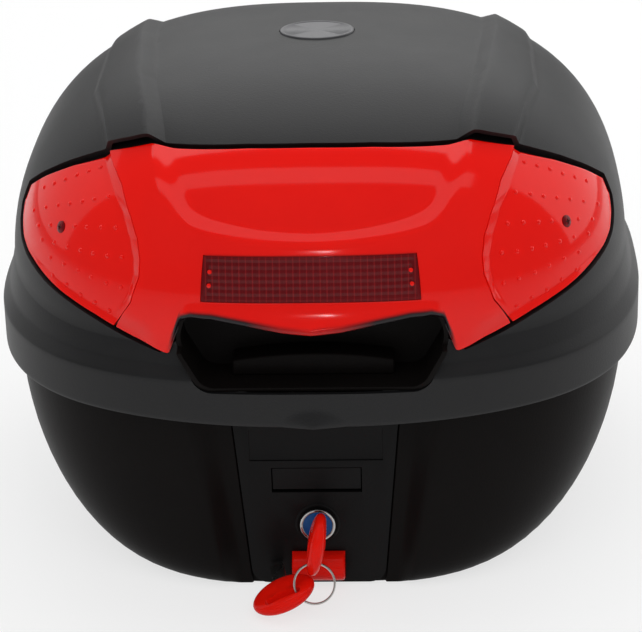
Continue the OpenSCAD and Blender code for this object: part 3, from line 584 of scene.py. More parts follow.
tub = loft_skin("base_tub", [tub_ring(BASE_H * s) for s in TUB_SHARES], foot=(0, 0, 0))
turn_outwards(tub, (0, 0, 80))
thicken(tub, TUB_WALL, even=True)
for vertex in tub.data.vertices:
    if vertex.co.z < -TINY:
        vertex.co.z = TUB_WALL * MM
carve(tub, dock_block("dock_walls", TUB_WALL, DOCK_D + TUB_WALL), "UNION")
carve(tub, dock_block("dock_room", 0, DOCK_D))
book(tub, "base", "case_black", "base_shell")

# %% [markdown]
# ## The red lens
# The lens is three mouldings laid on the dome. The middle one is raised like the roof ribs, with a U-shaped
# hollow and a lip that curls out under the reflector. A fine grid is draped on a height function, so the
# fillet of the hollow is real geometry. Solidify gives the wall, the reflector's seat is cut in, and a small
# bevel rounds all edges, because a moulded edge always catches the light.

# %% Drape the middle lens
LENS_SINK, LENS_T, LENS_RISE, LIP_OUT = 1.0, 3.0, 3.5, 6.0
SEAM = [(0.05, 34.6), (0.07, 34.2), (0.18, 31.2), (0.3, 29.9), (0.375, 30.1), (0.455, 31.2), (0.53, 33.3),
        (0.6, 36), (0.647, 38), (0.685, 40.7), (0.742, 45.6)]
SEAM_FOOT, SEAM_TOP = 34.6, 45.6
HOLLOW = [(-8, 0.493), (0, 0.483), (8, 0.493), (14, 0.51), (19, 0.53), (22.5, 0.552), (25, 0.59), (27, 0.64),
          (29.5, 0.705), (32, 0.75), (35, 0.81), (38, 0.9)]
LIP_EDGE = [(0, 0.074), (5, 0.086), (12.5, 0.118), (17, 0.136), (20.5, 0.138), (22.7, 0.118), (24.5, -0.03),
            (25, -0.036), (31.2, 0.012), (35, 0.05)]
ARC, RISE, FILLET, CURL, SEAM_GAP = 2.75, 118.0, 5.2, 3.6, 0.3
FLANK_T, FLANK_OVER, FLANK_UP = 25.0, 6.0, 16.0
LIP_T, LIP_OVER, LIP_Q, LIP_RISE, LIP_POWER = 19.0, 4.0, 0.08, 0.13, 1.5
FINE_ROWS, FINE_SHARE = 0.12, 0.048
# The DARK values and the table under them shape the painted shade along the lower edge of the lip, which stands in for
# the shade under its curl.
CURL_T, CURL_OVER, DARK_T, DARK_OVER, DARK_UP = 22.0, 2.5, 23.4, 1.5, 2.4
LIP_SHADE = [(0, 0.35), (5, 0.6), (11, 1)]


def lens_place(u, v):
    w = abs(u)
    foot_t, top_t = SEAM_FOOT * w, SEAM_TOP * w
    t = mix(foot_t, top_t, v)
    q = mix(table(foot_t, LIP_EDGE), table(top_t, LENS_HIGH), v)
    edge_q = mix(table(SEAM_FOOT, LIP_EDGE), table(SEAM_TOP, LENS_HIGH), v)
    shift = table(edge_q, SEAM) - SEAM_GAP - mix(SEAM_FOOT, SEAM_TOP, v)
    return math.copysign(t + shift * w * w, u), q


HOLLOW_LINE = np.array([(t * ARC, q * RISE) for t, q in HOLLOW])
for _ in range(3):
    start, along = HOLLOW_LINE[:-1], np.diff(HOLLOW_LINE, axis=0)
    inner = np.stack((start + along * 0.25, start + along * 0.75), 1).reshape(-1, 2)
    HOLLOW_LINE = np.vstack((HOLLOW_LINE[:1], inner, HOLLOW_LINE[-1:]))


def into_hollow(t, q):
    spot = np.array((abs(t) * ARC, q * RISE))
    start, along = HOLLOW_LINE[:-1], np.diff(HOLLOW_LINE, axis=0)
    share = np.clip(((spot - start) * along).sum(1) / (along ** 2).sum(1), 0, 1)
    gap = np.sqrt(((start + along * share[:, None] - spot) ** 2).sum(1)).min()
    return math.copysign(gap, q * RISE - table(abs(t) * ARC, HOLLOW_LINE))


def lens_height(t, q):
    raised = 1 - smooth((into_hollow(t, q) + FILLET) / (2 * FILLET))
    flank = 1 - smooth((q - table(abs(t), LIP_EDGE)) * RISE / FLANK_UP)
    raised *= 1 - smooth((abs(t) - FLANK_T) / FLANK_OVER) * flank
    lip = (1 - smooth((abs(t) - LIP_T) / LIP_OVER)) * (1 - clamp((q - LIP_Q) / LIP_RISE)) ** LIP_POWER
    return -LENS_SINK + LENS_RISE * raised + LIP_OUT * lip


lip_shade_values = []


def lens_surface(u, v):
    if v < FINE_ROWS:
        v *= FINE_SHARE / FINE_ROWS
    else:
        v = 1 - (1 - v) * (1 - FINE_SHARE) / (1 - FINE_ROWS)
    t, q = lens_place(2 * u - 1, v)
    up = (q - table(abs(t), LIP_EDGE)) * RISE
    # Painted shade: this weight is strongest at the middle and fades up from the lip's lower edge. It darkens the lens
    # there for the shade under the curl.
    dark = table(abs(t), LIP_SHADE) * (1 - smooth((abs(t) - DARK_T) / DARK_OVER))
    lip_shade_values.append(dark * (1 - smooth((up - DARK_UP) / DARK_UP)))
    short = CURL - clamp(up / CURL) * CURL
    curl = (CURL - math.sqrt(CURL ** 2 - short ** 2)) * (1 - smooth((abs(t) - CURL_T) / CURL_OVER))
    return dome_point(t, q, lens_height(t, q) - curl)


REFL_W, REFL_H, REFL_Z = 118.5, 24.0, 39.5
REFL_FACE, REFL_T, REFL_GAP = LENS_RISE - LENS_SINK + 0.6, 2.5, 0.5


def reflector_point(u, v, d, grow=0.0):
    x = (REFL_W / 2 + grow) / dome_k(REFL_Z / DOME_H)
    half = math.degrees(math.atan2(x, -depth(x, DOME_A, DOME_B)))
    return dome_point(half * (2 * u - 1), (REFL_Z + (REFL_H + 2 * grow) * (v - 0.5)) / DOME_H, d)


lens = drape_sheet("lens_middle", 200, 96, lens_surface)
# The painted-shade weight of each point is kept on the lens for its material.
lens.data.attributes.new("lip_edge", "FLOAT", "POINT").data.foreach_set("value", lip_shade_values)
thicken(turn_outwards(lens), LENS_T)
refl_room = drape_sheet("refl_room", 40, 6, lambda u, v: reflector_point(u, v, REFL_FACE + 6, REFL_GAP),
                        lambda u, v: reflector_point(u, v, REFL_FACE - REFL_T - 0.1, REFL_GAP))
carve(lens, turn_outwards(refl_room, reflector_point(0.5, 0.5, REFL_FACE + 2)))
round_edges(lens, 1.0, 3, 52)
book(lens, "lid", "lens_red", "lens_centre")

# %% [markdown]
# ## The wings of the lens
# Each wing is a leaf sunk deeper than the lid. Beside the seam a narrow strip slopes up to meet the middle lens,
# and a thin raised border runs along its lower edge. Rows of small raised dots stand on it. One dot is modelled,
# and each copy gets its own mesh before the dots are joined to their wing.

# %% Drape the wings
STRIP = [(0.087, 35.1), (0.217, 32.3), (0.31, 31.8), (0.375, 32.2), (0.461, 33.8), (0.552, 36.4), (0.597, 38.7),
         (0.664, 42.6), (0.725, 47.2)]
WING_T, WING_DEEP, WING_SHALLOW, STRIP_RISE, BORDER_W = 2.0, 2.7, 1.1, 3.0, 3.6
SINK_FROM, SINK_OVER, BORDER = 46.0, 18.0, [(46, 1.5), (56, 0.2)]
SIDES = ((-1, "left"), (1, "right"))


def wing_sink(t):
    return mix(WING_DEEP, WING_SHALLOW, smooth((abs(t) - SINK_FROM) / SINK_OVER))


def wing_place(u, v):
    e0, e1 = SEAM_FOOT + 0.4, SEAM_TOP + 0.4
    t0, t1 = mix(e0, WING_END, u), mix(e1, WING_END, u)
    q0, q1 = table(t0, LENS_LOW), table(t1, LENS_HIGH)
    edge_q = mix(table(e0, LENS_LOW), table(e1, LENS_HIGH), v)
    shift = table(edge_q, SEAM) + SEAM_GAP - mix(e0, e1, v)
    return mix(t0, t1, v) + shift * (1 - u) ** 2, mix(q0, q1, v)


def wing_height(u, v):
    t, q = wing_place(u, v)
    seam = table(q, SEAM) + SEAM_GAP
    slope = clamp(1 - (t - seam) / max(table(q, STRIP) - seam, 0.2)) * table(q, [(0.08, 0), (0.2, 1)])
    border = (1 - smooth((q - wing_place(u, 0)[1]) * DOME_H / BORDER_W)) * table(t, BORDER)
    return -wing_sink(t) + STRIP_RISE * slope + border * (1 - slope)


def wing_surface(side, u, v):
    t, q = wing_place(u, v)
    return dome_point(side * t, q, wing_height(u, v))


DOTS = [(59.7, 0.515), (56.7, 0.556), (53.9, 0.594), (51.4, 0.629), (48.9, 0.660), (46.5, 0.687),
        (60.2, 0.405), (55.9, 0.455), (52.4, 0.493), (49.3, 0.522), (46.4, 0.549), (43.8, 0.573), (40.9, 0.597),
        (56.6, 0.366), (52.6, 0.402), (46.0, 0.445), (43.1, 0.458), (40.0, 0.474), (36.9, 0.486),
        (54.2, 0.320), (50.2, 0.339), (46.5, 0.348), (43.2, 0.354), (40.3, 0.358), (37.3, 0.362), (34.4, 0.370),
        (50.6, 0.264), (46.7, 0.266), (43.1, 0.260), (40.0, 0.249), (36.8, 0.241), (33.9, 0.234),
        (49.4, 0.190), (45.5, 0.178), (42.1, 0.152), (38.9, 0.136), (36.0, 0.113)]


def lay_on(t, q, d):
    foot, tip = Vector(dome_point(t, q, 0)), Vector(dome_point(t, q, 1))
    turn = (tip - foot).normalized().to_track_quat("Z", "Y").to_matrix().to_4x4()
    return move(*dome_point(t, q, d)) @ turn


dot = turned("wing_dot", ((1.55, -0.6), (1.45, 0.15), (0.95, 0.65)), 8, top=0.8)
for side, name in SIDES:
    wing = drape_sheet("lens_wing_" + name, 96, 64, lambda u, v: wing_surface(side, u ** 1.5, v))
    round_edges(thicken(turn_outwards(wing), WING_T), 0.5, 2, 52)
    dots = [copy_onto(dot, "dot", lay_on(side * t, q, -wing_sink(t))) for t, q in DOTS]
    book(join([wing, *dots], wing.name), "lid", "lens_red", "lens_" + name)
drop(dot)

# %% [markdown]
# ## The reflector
# The reflector is a dark red bar with a plain border and a field of small pillows moulded into it, which throw
# light back. The grid has one point in the middle of each pillow, and the points round it are sunk, so the
# pillows are real. Two little pegs at each end are what holds it in its seat.

# %% Lay the reflector
CELLS_X, CELLS_Y, REFL_BORDER, GROOVE = 30, 5, 3.0, 1.0


def cell_share(i, cells, size):
    inner = (i - 2) / (2 * cells)
    border = REFL_BORDER / size
    if i <= 1:
        return border * i * 0.5
    if i >= 2 * cells + 3:
        return 1 - border * (2 * cells + 4 - i) * 0.5
    return mix(border, 1 - border, inner)


def reflector_face(u, v):
    i, j = round(u * (2 * CELLS_X + 4)), round(v * (2 * CELLS_Y + 4))
    inside = 2 <= i <= 2 * CELLS_X + 2 and 2 <= j <= 2 * CELLS_Y + 2
    low = GROOVE if inside and (i % 2 == 0 or j % 2 == 0) else 0.0
    return reflector_point(cell_share(i, CELLS_X, REFL_W), cell_share(j, CELLS_Y, REFL_H), REFL_FACE - low)


reflector = drape_sheet("reflector_bar", 2 * CELLS_X + 4, 2 * CELLS_Y + 4, reflector_face,
                        lambda u, v: reflector_point(u, v, REFL_FACE - REFL_T))
turn_outwards(reflector, reflector_point(0.5, 0.5, REFL_FACE - REFL_T / 2))
book(reflector, "lid", "reflector_red", "reflector", angle=12)
peg = turned("one_peg", ((1.25, -1), (1.25, 0.1), (1.0, 0.3)), 16, top=0.35)
pegs = []
for u in (0.033, 0.967):
    for v in (0.36, 0.66):
        x, y, _ = reflector_point(u, v, REFL_FACE)
        angle = math.degrees(math.atan2(x, -y))
        pegs.append(copy_onto(peg, "peg", lay_on(angle, (REFL_Z + REFL_H * (v - 0.5)) / DOME_H, REFL_FACE)))
drop(peg)
book(join(pegs, "reflector_pegs"), "lid", "lens_red")

# %% [markdown]
# ## The screws of the wings
# One dark screw shows in each wing. A low button head with a cross recess is turned as a loft, and the cross is
# cut by two thin blocks.

# %% Turn the wing screws
SCREW_T, SCREW_Q = 49.4, 0.418
SCREW_PROFILE = ((3.5, -1.5), (3.5, 0.3), (2.5, 0.75), (1.6, 0.95))
for side, name in SIDES:
    screw = turned("wing_screw_" + name, SCREW_PROFILE, top=1.0)
    for x, y in ((0.35, 1.6), (1.6, 0.35)):
        carve(screw, block("cross_cut", (-x, -y, 0.4), (x, y, 1.4)))
    book(place(screw, lay_on(side * SCREW_T, SCREW_Q, -wing_sink(SCREW_T))), "lid", "reflector_red")

# %% [markdown]
# ## The badge
# On the real case an oval badge sits on the crown. Here it is left plain: a disc with a rounded rim and a slightly
# sunk face, turned round and then stretched to its oval.

# %% Turn the badge
BADGE_PROFILE = ((1.0, 0.0), (1.0, 1.35), (0.988, 1.68), (0.965, 1.85), (0.935, 1.88), (0.905, 1.75), (0.89, 1.5))
badge = turned("badge_plate", BADGE_PROFILE, 96, top=1.62)
place(badge, move(0, BADGE_Y, BADGE_Z) @ Matrix.Diagonal((BADGE_W / 2, BADGE_L / 2, 1, 1)))
book(badge, "lid", "badge_grey", "badge")

# %% [markdown]
# ## Small mouldings from the frame
# The pad, the grip, the hinges, the lock and the key blades already have their shape in the CAD frame, but with
# sharp edges. A copy of each is merged into one skin, its flat faces are joined, and a bevel gives every edge
# the small radius that a moulded or pressed part has.

# %% Round the edges of copies
ROUNDED = [("press_pad", "latch_pad", 0.6, 3), ("grip_bar", "pocket_grip", 1.4, 4),
           ("lock_body", "lock_bezel", 0.55, 3), ("plug_face", "lock_face", 0.25, 2),
           ("base_hinges", "hinge_blocks", 0.6, 2), ("lid_hinges", "hinge_leaves", 0.6, 2),
           ("striker", "latch_striker", 0.4, 2), ("lock_nut", "panel_nut", 0.4, 2), ("key_blade", "key_shank", 0.25, 2),
           ("spare_key_blade", "spare_shank", 0.25, 2), ("release_bolt", "dock_bolt", 0.4, 2)]


def join_flat_faces():
    bpy.ops.mesh.remove_doubles(threshold=TINY / 2)
    bpy.ops.mesh.dissolve_limited(angle_limit=math.radians(0.6))


for node, name, width, segments in ROUNDED:
    piece = edit_all(copy_onto(nodes[node], name, Matrix.Identity(4)), join_flat_faces)
    piece.data.name = name
    round_edges(piece, width, segments, 30)
    # Painted shade: the pocket grip takes the darker tub plastic in place of its node's own finish, for the shade of
    # the pocket it sits in.
    slot = "case_black" if node == "grip_bar" else slot_of[node]
    book(piece, nodes[node]["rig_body"], slot, node, angle=35)

# %% [markdown]
# ## The finger pocket
# The cup behind the mouth is nearly black and its upper front edge stays back behind the lip of the lens, so that
# only a shadow shows there. A prism is hollowed by a smaller one, and a block trims its upper front.

# %% Hollow the pocket cup
CUP_ROOM = [(-61.5, 136.5), (61.5, 136.5), (75, 161.4), (70.4, 177.6), (-70.4, 177.6), (-75, 161.4)]
CUP_OUT, CUP_BACK, CUP_WALL, CUP_GAP, CUP_SHRINK = -186.0, -150.0, 2.5, 0.2, 0.997
outline = [(x * CUP_SHRINK, z + (CUP_GAP if z < 150 else -CUP_GAP)) for x, z in MOUTH]
cup = prism("pocket_cup", outline, CUP_OUT, CUP_BACK, MOUTH_CORNER)
carve(cup, prism("cup_room", CUP_ROOM, MOUTH_OUT, CUP_BACK - CUP_WALL, MOUTH_CORNER - 1))
carve(cup, block("cup_trim", (-100, -226, 158), (100, -176, 198)))
book(round_edges(cup, 0.4, 2, 30), "lid", "case_black", "finger_pocket", angle=35)

# %% [markdown]
# ## The lock panel
# The panel is a flat plate that narrows downwards, with round corners. Its windows for the pad, the button
# and the lock are cut with blocks and a cylinder, and a shallow field is sunk in above the pad.

# %% Cut the panel
LOCK_Z, LOCK_R, PAD_Z, PAD_W, PAD_H = 40.0, 9.1, 69.0, 51.0, 14.0
BUTTON_W, BUTTON_R, BUTTON_Z = 31.0, 8.5, 13.0
FIELD_W, FIELD_LOW, FIELD_HIGH, FIELD_SINK = 77.0, 81.0, 101.0, 0.9


def panel_half(z):
    return mix(PANEL_FOOT, PANEL_TOP, z / BASE_H)


def window(name, half, low, high, back=PANEL_BACK + 1):
    carve(panel, block(name, (-half, PANEL_Y - 1, low), (half, back, high)))


corners = ((-1, PANEL_LOW), (1, PANEL_LOW), (1, PANEL_HIGH), (-1, PANEL_HIGH))
panel = prism("panel_plate", [(side * panel_half(z), z) for side, z in corners], PANEL_Y, PANEL_BACK, PANEL_CORNER)
window("pad_window", PAD_W / 2 + 0.6, PAD_Z - PAD_H / 2 - 1.5, PAD_Z + PAD_H / 2 + 0.3)
window("button_window", BUTTON_W / 2 + 0.03, BUTTON_Z - BUTTON_R - 0.3, BUTTON_Z + BUTTON_R + 0.3)
window("sunk_field", FIELD_W / 2, FIELD_LOW, FIELD_HIGH, PANEL_Y + FIELD_SINK)
start_clean()
bpy.ops.mesh.primitive_cylinder_add(vertices=48, radius=LOCK_R * MM, depth=0.02, rotation=(math.pi / 2, 0, 0),
                                    location=(0, PANEL_Y * MM, LOCK_Z * MM))
carve(panel, settled("lock_hole"))
book(round_edges(panel, 0.6, 3, 40), "base", "panel_black", "lock_panel", angle=35)

# %% [markdown]
# ## The release button
# The button that frees the case from its carrier has a half-round front. It is lofted along X, and the last rings
# at each end draw in, which rounds its corners.

# %% Loft the button
BUTTON_ENDS = [(-15.5, 1.7), (-15.4, 1.15), (-15.1, 0.6), (-14.6, 0.22), (-13.9, 0.0)]
BUTTON_ENDS = BUTTON_ENDS + [(-x, inset) for x, inset in reversed(BUTTON_ENDS)]
BUTTON_Y = PANEL_Y - 2


def button_ring(x, inset):
    r, back = BUTTON_R - inset, PANEL_BACK + 2.5
    arc = [(BUTTON_Y - r * math.cos(a), r * math.sin(a)) for a in map(math.radians, range(-90, 91, 6))]
    foot = [(PANEL_Y - 1, BUTTON_R), (back, BUTTON_R), (back, -BUTTON_R), (PANEL_Y - 1, -BUTTON_R)]
    return [(x, y, BUTTON_Z + z) for y, z in arc + foot]


button = loft_skin("button_cap", [button_ring(*end) for end in BUTTON_ENDS],
                   top=(BUTTON_W / 2, BUTTON_Y, BUTTON_Z), foot=(-BUTTON_W / 2, BUTTON_Y, BUTTON_Z))
turn_outwards(button, (0, BUTTON_Y, BUTTON_Z))
book(button, "button", slot_of["release_button"], "release_button", angle=50)

# %% [markdown]
# ## The boss round the lock
# A faint raised ring surrounds the lock on the panel. It is turned round the lock's axis and sunk a little into
# the panel, so that it has no gap behind it.

# %% Turn the lock boss
BOSS_PROFILE = ((10.9, 0.9), (10.9, -0.05), (11.5, -0.55), (12.4, -0.6), (13.0, -0.2), (13.3, 0.9))
boss = turned("lock_boss", BOSS_PROFILE, 64)
thicken(boss, 0.5)
place(boss, move(0, PANEL_Y, LOCK_Z) @ spin("X", 90) @ Matrix.Diagonal((1, 1, -1, 1)))
book(edit_all(boss, face_out), "base", "panel_black")

# %% [markdown]
# ## The keys
# Each key head is a thick rounded pod of red plastic with a long hole for the ring. It is lofted flat, with its
# long side along X, and the hole is cut through with a second loft. The spare head is a copy with its own mesh.

# %% Shape one key head
HEAD_W, HEAD_L, HEAD_T, SLOT_BACK, SLOT_L, SLOT_W, HOLE_W = 38.0, 29.0, 10.0, 7.0, 22.0, 8.0, 5.4
POD_ROWS, POD_TURN, POD_POINTS, HOLE_POINTS = 9, 9.4, 64, 12


def pod_rings():
    rings = []
    for step in range(-POD_ROWS, POD_ROWS + 1):
        angle = math.radians(step * POD_TURN)
        k = math.cos(angle) ** 0.45
        z = HEAD_T / 2 * math.copysign(abs(math.sin(angle)) ** 0.85, angle)
        turns = [i * math.tau / POD_POINTS for i in range(POD_POINTS)]
        rings.append([(HEAD_W / 2 * k * math.cos(a), HEAD_L / 2 * k * math.sin(a),
                       z * (1 - 0.2 * abs(math.cos(a)) ** 3)) for a in turns])
    return rings


def ring_hole():
    r = HOLE_W / 2
    half = [math.pi * i / (HOLE_POINTS - 1) for i in range(HOLE_POINTS)]
    right = [(SLOT_L / 2 - r + r * math.sin(a), r * math.cos(a)) for a in half]
    outline = right + [(-x, -y) for x, y in right]
    rings = [[(x, y - SLOT_BACK, z) for x, y in outline] for z in (-HEAD_T, HEAD_T)]
    hole = loft_skin("ring_hole", rings, top=(0, -SLOT_BACK, HEAD_T), foot=(0, -SLOT_BACK, -HEAD_T))
    return edit_all(hole, face_out)


head = loft_skin("key_pod", pod_rings(), top=(0, 0, HEAD_T / 2), foot=(0, 0, -HEAD_T / 2))
carve(turn_outwards(head, (0, 0, 0)), ring_hole())
round_edges(head, 0.7, 3, 50)
spare = copy_onto(head, "spare_pod", Matrix.Identity(4))
spare.data.name = "spare_pod"
print("key head", len(head.data.polygons), "faces")

# %% [markdown]
# ## The keys in place
# One key stands in the lock, and the spare hangs on the ring. The heads are put where the frame has them, with the
# same turns as in the CAD model, made with matrices.

# %% Put the keys in the lock and on the ring
HEAD_Y, KEY_LEAN, RING_D, RING_T, RING_TILT = -192.5, 10.0, 25.0, 1.8, 22.0
SPARE_TURN, SPARE_ROLL, SPARE_PITCH, SPARE_YAW, SPARE_SIDE, SPARE_BACK = 214.0, 22.0, 6.0, 8.0, 8.0, 6.4
SLOT_Y, RING_R, RING_PLAY = HEAD_Y - SLOT_BACK, RING_D / 2 - RING_T / 2, 1.6
HANG = (SLOT_L - SLOT_W) / 2
lean = math.radians(KEY_LEAN)
RING_X = -HANG * math.sin(lean)
RING_TOP = LOCK_Z - HANG * math.cos(lean) - (SLOT_W - RING_T) / 2 + RING_PLAY
in_lock = move(0, HEAD_Y, LOCK_Z) @ spin("Y", 90 + KEY_LEAN)
on_ring = move(RING_X, SLOT_Y, RING_TOP) @ spin("X", -RING_TILT) @ move(0, 0, -RING_R)
on_spare = (on_ring @ spin("Y", 90 - SPARE_TURN) @ move(0, 0, RING_R) @ spin("Y", SPARE_TURN - 90)
            @ spin("X", RING_TILT) @ spin("Y", -SPARE_ROLL) @ spin("Z", SPARE_YAW) @ spin("X", SPARE_PITCH)
            @ move(-SPARE_SIDE, SPARE_BACK, 0))
book(place(head, in_lock), "key", "key_red", "key_head")
book(place(spare, on_spare), "spare_key", "key_red", "spare_key_head")

# %% [markdown]
# ## The split ring
# A split ring is one wire wound twice. A small circle is turned twice round by the Screw modifier, which lifts it
# by one wire for each turn, and the two open ends are then filled.

# %% Wind the ring
WIRE, WIRE_PITCH = 1.25, 1.04


def wind(name, radius, wire, start, pitch, turns, sides, steps):
    start_clean()
    bpy.ops.mesh.primitive_circle_add(vertices=sides, radius=wire / 2 * MM, rotation=(math.pi / 2, 0, 0),
                                      location=(radius * MM, 0, start * MM))
    piece = settled(name)
    apply_modifier(piece, "SCREW", axis="Z", angle=math.tau, iterations=turns, screw_offset=pitch * MM, steps=steps,
                   render_steps=steps)
    return edit_all(piece, lambda: bpy.ops.mesh.fill_holes(sides=0), face_out)


ring = wind("split_ring", RING_R, WIRE, -WIRE, WIRE_PITCH * WIRE, 2, 12, 72)
book(place(ring, on_ring @ spin("X", 90)), "ring", "steel", "key_ring")

# %% [markdown]
# ## The spring of the button
# Behind the button a wire spring pushes against the wall of the latch room. It is wound like the ring, with five
# open turns, and is given a mesh of its own. On the case it shortens towards its fixed end when the button is pushed;
# here it keeps its full length.

# %% Wind the spring
COIL_R, COIL_WIRE, COIL_TURNS, COIL_LONG, PUSH, COIL_Z = 3.4, 0.9, 5, 16.0, 6.0, 16.0
COIL_PITCH = (COIL_LONG - COIL_WIRE) / COIL_TURNS
coil = wind("button_coil", COIL_R, COIL_WIRE, COIL_WIRE / 2, COIL_PITCH, COIL_TURNS, 10, 32)
book(place(coil, move(0, ROOM_Y, COIL_Z) @ spin("X", 90)), "base", "steel", "button_spring")
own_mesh(coil)

# %% [markdown]
# ## The moulded grain
# Every plastic shares one moulded grain, kept as a node group with its own scale. Its fine height becomes bump.
# Its tone, broad patches with some finer scuffs, shifts colour and roughness a little. Two small helpers add a
# node with its values and wire nodes together.

# %% The grain group
def add_node(tree, kind, **values):
    node = tree.nodes.new("ShaderNode" + kind)
    for name, value in values.items():
        if name.islower():
            setattr(node, name, value)
        else:
            node.inputs[name.replace("_", " ")].default_value = value
    return node


def wire_up(tree, *links):
    for start, output, end, socket in links:
        tree.links.new(start.outputs[output], end.inputs[socket])


def make_grain_group():
    group = bpy.data.node_groups.new("moulded_grain", "ShaderNodeTree")
    group.interface.new_socket("Scale", in_out="INPUT", socket_type="NodeSocketFloat").default_value = 900
    for name in ("Height", "Tone"):
        group.interface.new_socket(name, in_out="OUTPUT", socket_type="NodeSocketFloat")
    inside, outside = group.nodes.new("NodeGroupInput"), group.nodes.new("NodeGroupOutput")
    spot, fine = add_node(group, "TexCoord"), add_node(group, "TexNoise", Detail=3)
    broad, scuff = (add_node(group, "TexNoise", Scale=scale, Detail=detail) for scale, detail in ((14, 4), (60, 8)))
    blend = add_node(group, "Mix", data_type="FLOAT", Factor=0.35)
    wire_up(group, *((spot, "Object", noise, "Vector") for noise in (fine, broad, scuff)),
            (inside, "Scale", fine, "Scale"), (fine, "Fac", outside, "Height"), (broad, "Fac", blend, "A"),
            (scuff, "Fac", blend, "B"), (blend, "Result", outside, "Tone"))
    return group


GRAIN = make_grain_group()
print("grain group", len(GRAIN.nodes), "nodes")

# %% [markdown]
# ## Finishes
# The Principled shader stays in each material, with the values that are the same all over set on its sockets. A
# metal is the same make with its metallic value at one. A tint paints shade near black on the edge of the lens lip,
# by a value that was kept for each of its points, and paints fine bright lines of highlight on the reflector.

# %% Mix the finishes
def plastic(name, dark, light, roughness, grain=900, bump=0.25, specular=0.5):
    material = bpy.data.materials.new(name)
    material.use_nodes = True
    tree = material.node_tree
    shader = tree.nodes["Principled BSDF"]
    shader.inputs["Specular IOR Level"].default_value = specular
    texture = add_node(tree, "Group", node_tree=GRAIN, Scale=grain)
    ramp = add_node(tree, "ValToRGB")
    for stop, position, colour in zip(ramp.color_ramp.elements, (0.3, 0.7), (dark, light)):
        stop.position, stop.color = position, (*colour, 1)
    rough = add_node(tree, "MapRange", To_Min=roughness * 0.88, To_Max=roughness * 1.12)
    relief = add_node(tree, "Bump", Strength=bump, Distance=0.0004)
    wire_up(tree, (texture, "Tone", ramp, "Fac"), (ramp, "Color", shader, "Base Color"),
            (texture, "Tone", rough, "Value"), (rough, "Result", shader, "Roughness"),
            (texture, "Height", relief, "Height"), (relief, "Normal", shader, "Normal"))
    return material


def metal(name, colour, roughness):
    material = plastic(name, colour, colour, roughness, 500, 0.03)
    material.node_tree.nodes["Principled BSDF"].inputs["Metallic"].default_value = 1.0
    return material


def tint(material, mask, output, colour):
    tree = material.node_tree
    blend = add_node(tree, "Mix", data_type="RGBA", B=(*colour, 1))
    wire_up(tree, (mask, output, blend, "Factor"), (tree.nodes["Color Ramp"], "Color", blend, "A"),
            (blend, "Result", tree.nodes["Principled BSDF"], "Base Color"))


FINISH = {
    "case_black": plastic("tub_plastic", (0.0044, 0.0035, 0.0033), (0.0060, 0.0049, 0.0046), 0.45, specular=0.07),
    "lid_grey": plastic("lid_plastic", (0.0056, 0.0056, 0.0062), (0.0082, 0.0082, 0.0089), 0.5, specular=0.36),
    "panel_black": plastic("panel_plastic", (0.0036, 0.0032, 0.0034), (0.005, 0.0046, 0.0048), 0.4, specular=0.12),
    "seal_rubber": plastic("seal_rubber", (0.012, 0.012, 0.012), (0.016, 0.016, 0.016), 0.75),
    "steel": metal("zinc_steel", (0.6, 0.59, 0.57), 0.28),
    "chrome": metal("chrome", (0.5, 0.49, 0.48), 0.12),
    "lens_red": plastic("lens_plastic", (0.90, 0.004, 0.0010), (0.94, 0.006, 0.0014), 0.08, 60, 0.02, 0.32),
    "reflector_red": plastic("reflector_plastic", (0.12, 0.002, 0.004), (0.15, 0.003, 0.006), 0.16, 300, 0.05, 0.2),
    "badge_grey": plastic("badge_plastic", (0.055, 0.055, 0.06), (0.07, 0.07, 0.075), 0.35),
    "face_blue": plastic("blue_face", (0.0, 0.05, 0.2), (0.0, 0.065, 0.25), 0.3, 300, 0.02, 0.25),
    "key_red": plastic("key_plastic", (0.86, 0.008, 0.003), (0.92, 0.011, 0.004), 0.2, 300, 0.03, 0.12)}
# Painted shade: the weight kept on the lens points mixes its red towards near black along the lip's lower edge.
lip_shade_mask = add_node(FINISH["lens_red"].node_tree, "Attribute", attribute_name="lip_edge")
tint(FINISH["lens_red"], lip_shade_mask, "Fac", (0.012, 0.008, 0.01))
# Painted highlight: thin bright red lines across the reflector stand in for the light its pillows throw back.
tree, GLINT_GAP = FINISH["reflector_red"].node_tree, 0.00375
spot, lines = add_node(tree, "TexCoord"), add_node(tree, "TexWave", Scale=math.tau / (20 * GLINT_GAP))
thin = add_node(tree, "MapRange", From_Min=0.86, To_Max=0.8)
wire_up(tree, (spot, "Object", lines, "Vector"), (lines, "Fac", thin, "Value"))
tint(FINISH["reflector_red"], thin, "Result", (0.26, 0.01, 0.012))


def paint(piece, material):
    piece.data.materials.clear()
    piece.data.materials.append(material)


for node, slot in slot_of.items():
    paint(nodes[node], FINISH[slot])
for piece in made:
    paint(piece, FINISH[piece["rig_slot"]])
print("finishes", len(FINISH), "on", len(made), "new pieces")

# %% [markdown]
# ## Floor and light
# The case stands on a plain white floor under large soft lamps. The camera sees most of the floor as plain white,
# with some shadow kept, and mirrored rays see it so too, but less with the distance. The front lamp lights the
# case without being mirrored in it.

# %% Lay the floor and hang the lamps
start_clean()
bpy.ops.mesh.primitive_plane_add(size=12, location=(0, 0, -0.0005))
floor = named("floor")
floor_paint = bpy.data.materials.new("floor_paint")
floor_paint.use_nodes = True
tree = floor_paint.node_tree
matt = tree.nodes["Principled BSDF"]
matt.inputs["Base Color"].default_value, matt.inputs["Roughness"].default_value = (0.9, 0.9, 0.9, 1), 0.9
path, spot, glow, white = (add_node(tree, kind) for kind in ("LightPath", "TexCoord", "Emission", "MixShader"))
away = add_node(tree, "VectorMath", operation="LENGTH")
fade = add_node(tree, "MapRange", From_Min=0.3, From_Max=1.3, To_Min=0.8, To_Max=0.0)
mirrored, share = (add_node(tree, "Math", operation="MULTIPLY") for _ in range(2))
seen, seen_too = (add_node(tree, "Math", operation="MAXIMUM") for _ in range(2))
glow.inputs["Strength"].default_value, share.inputs[1].default_value = 1.0, 0.7
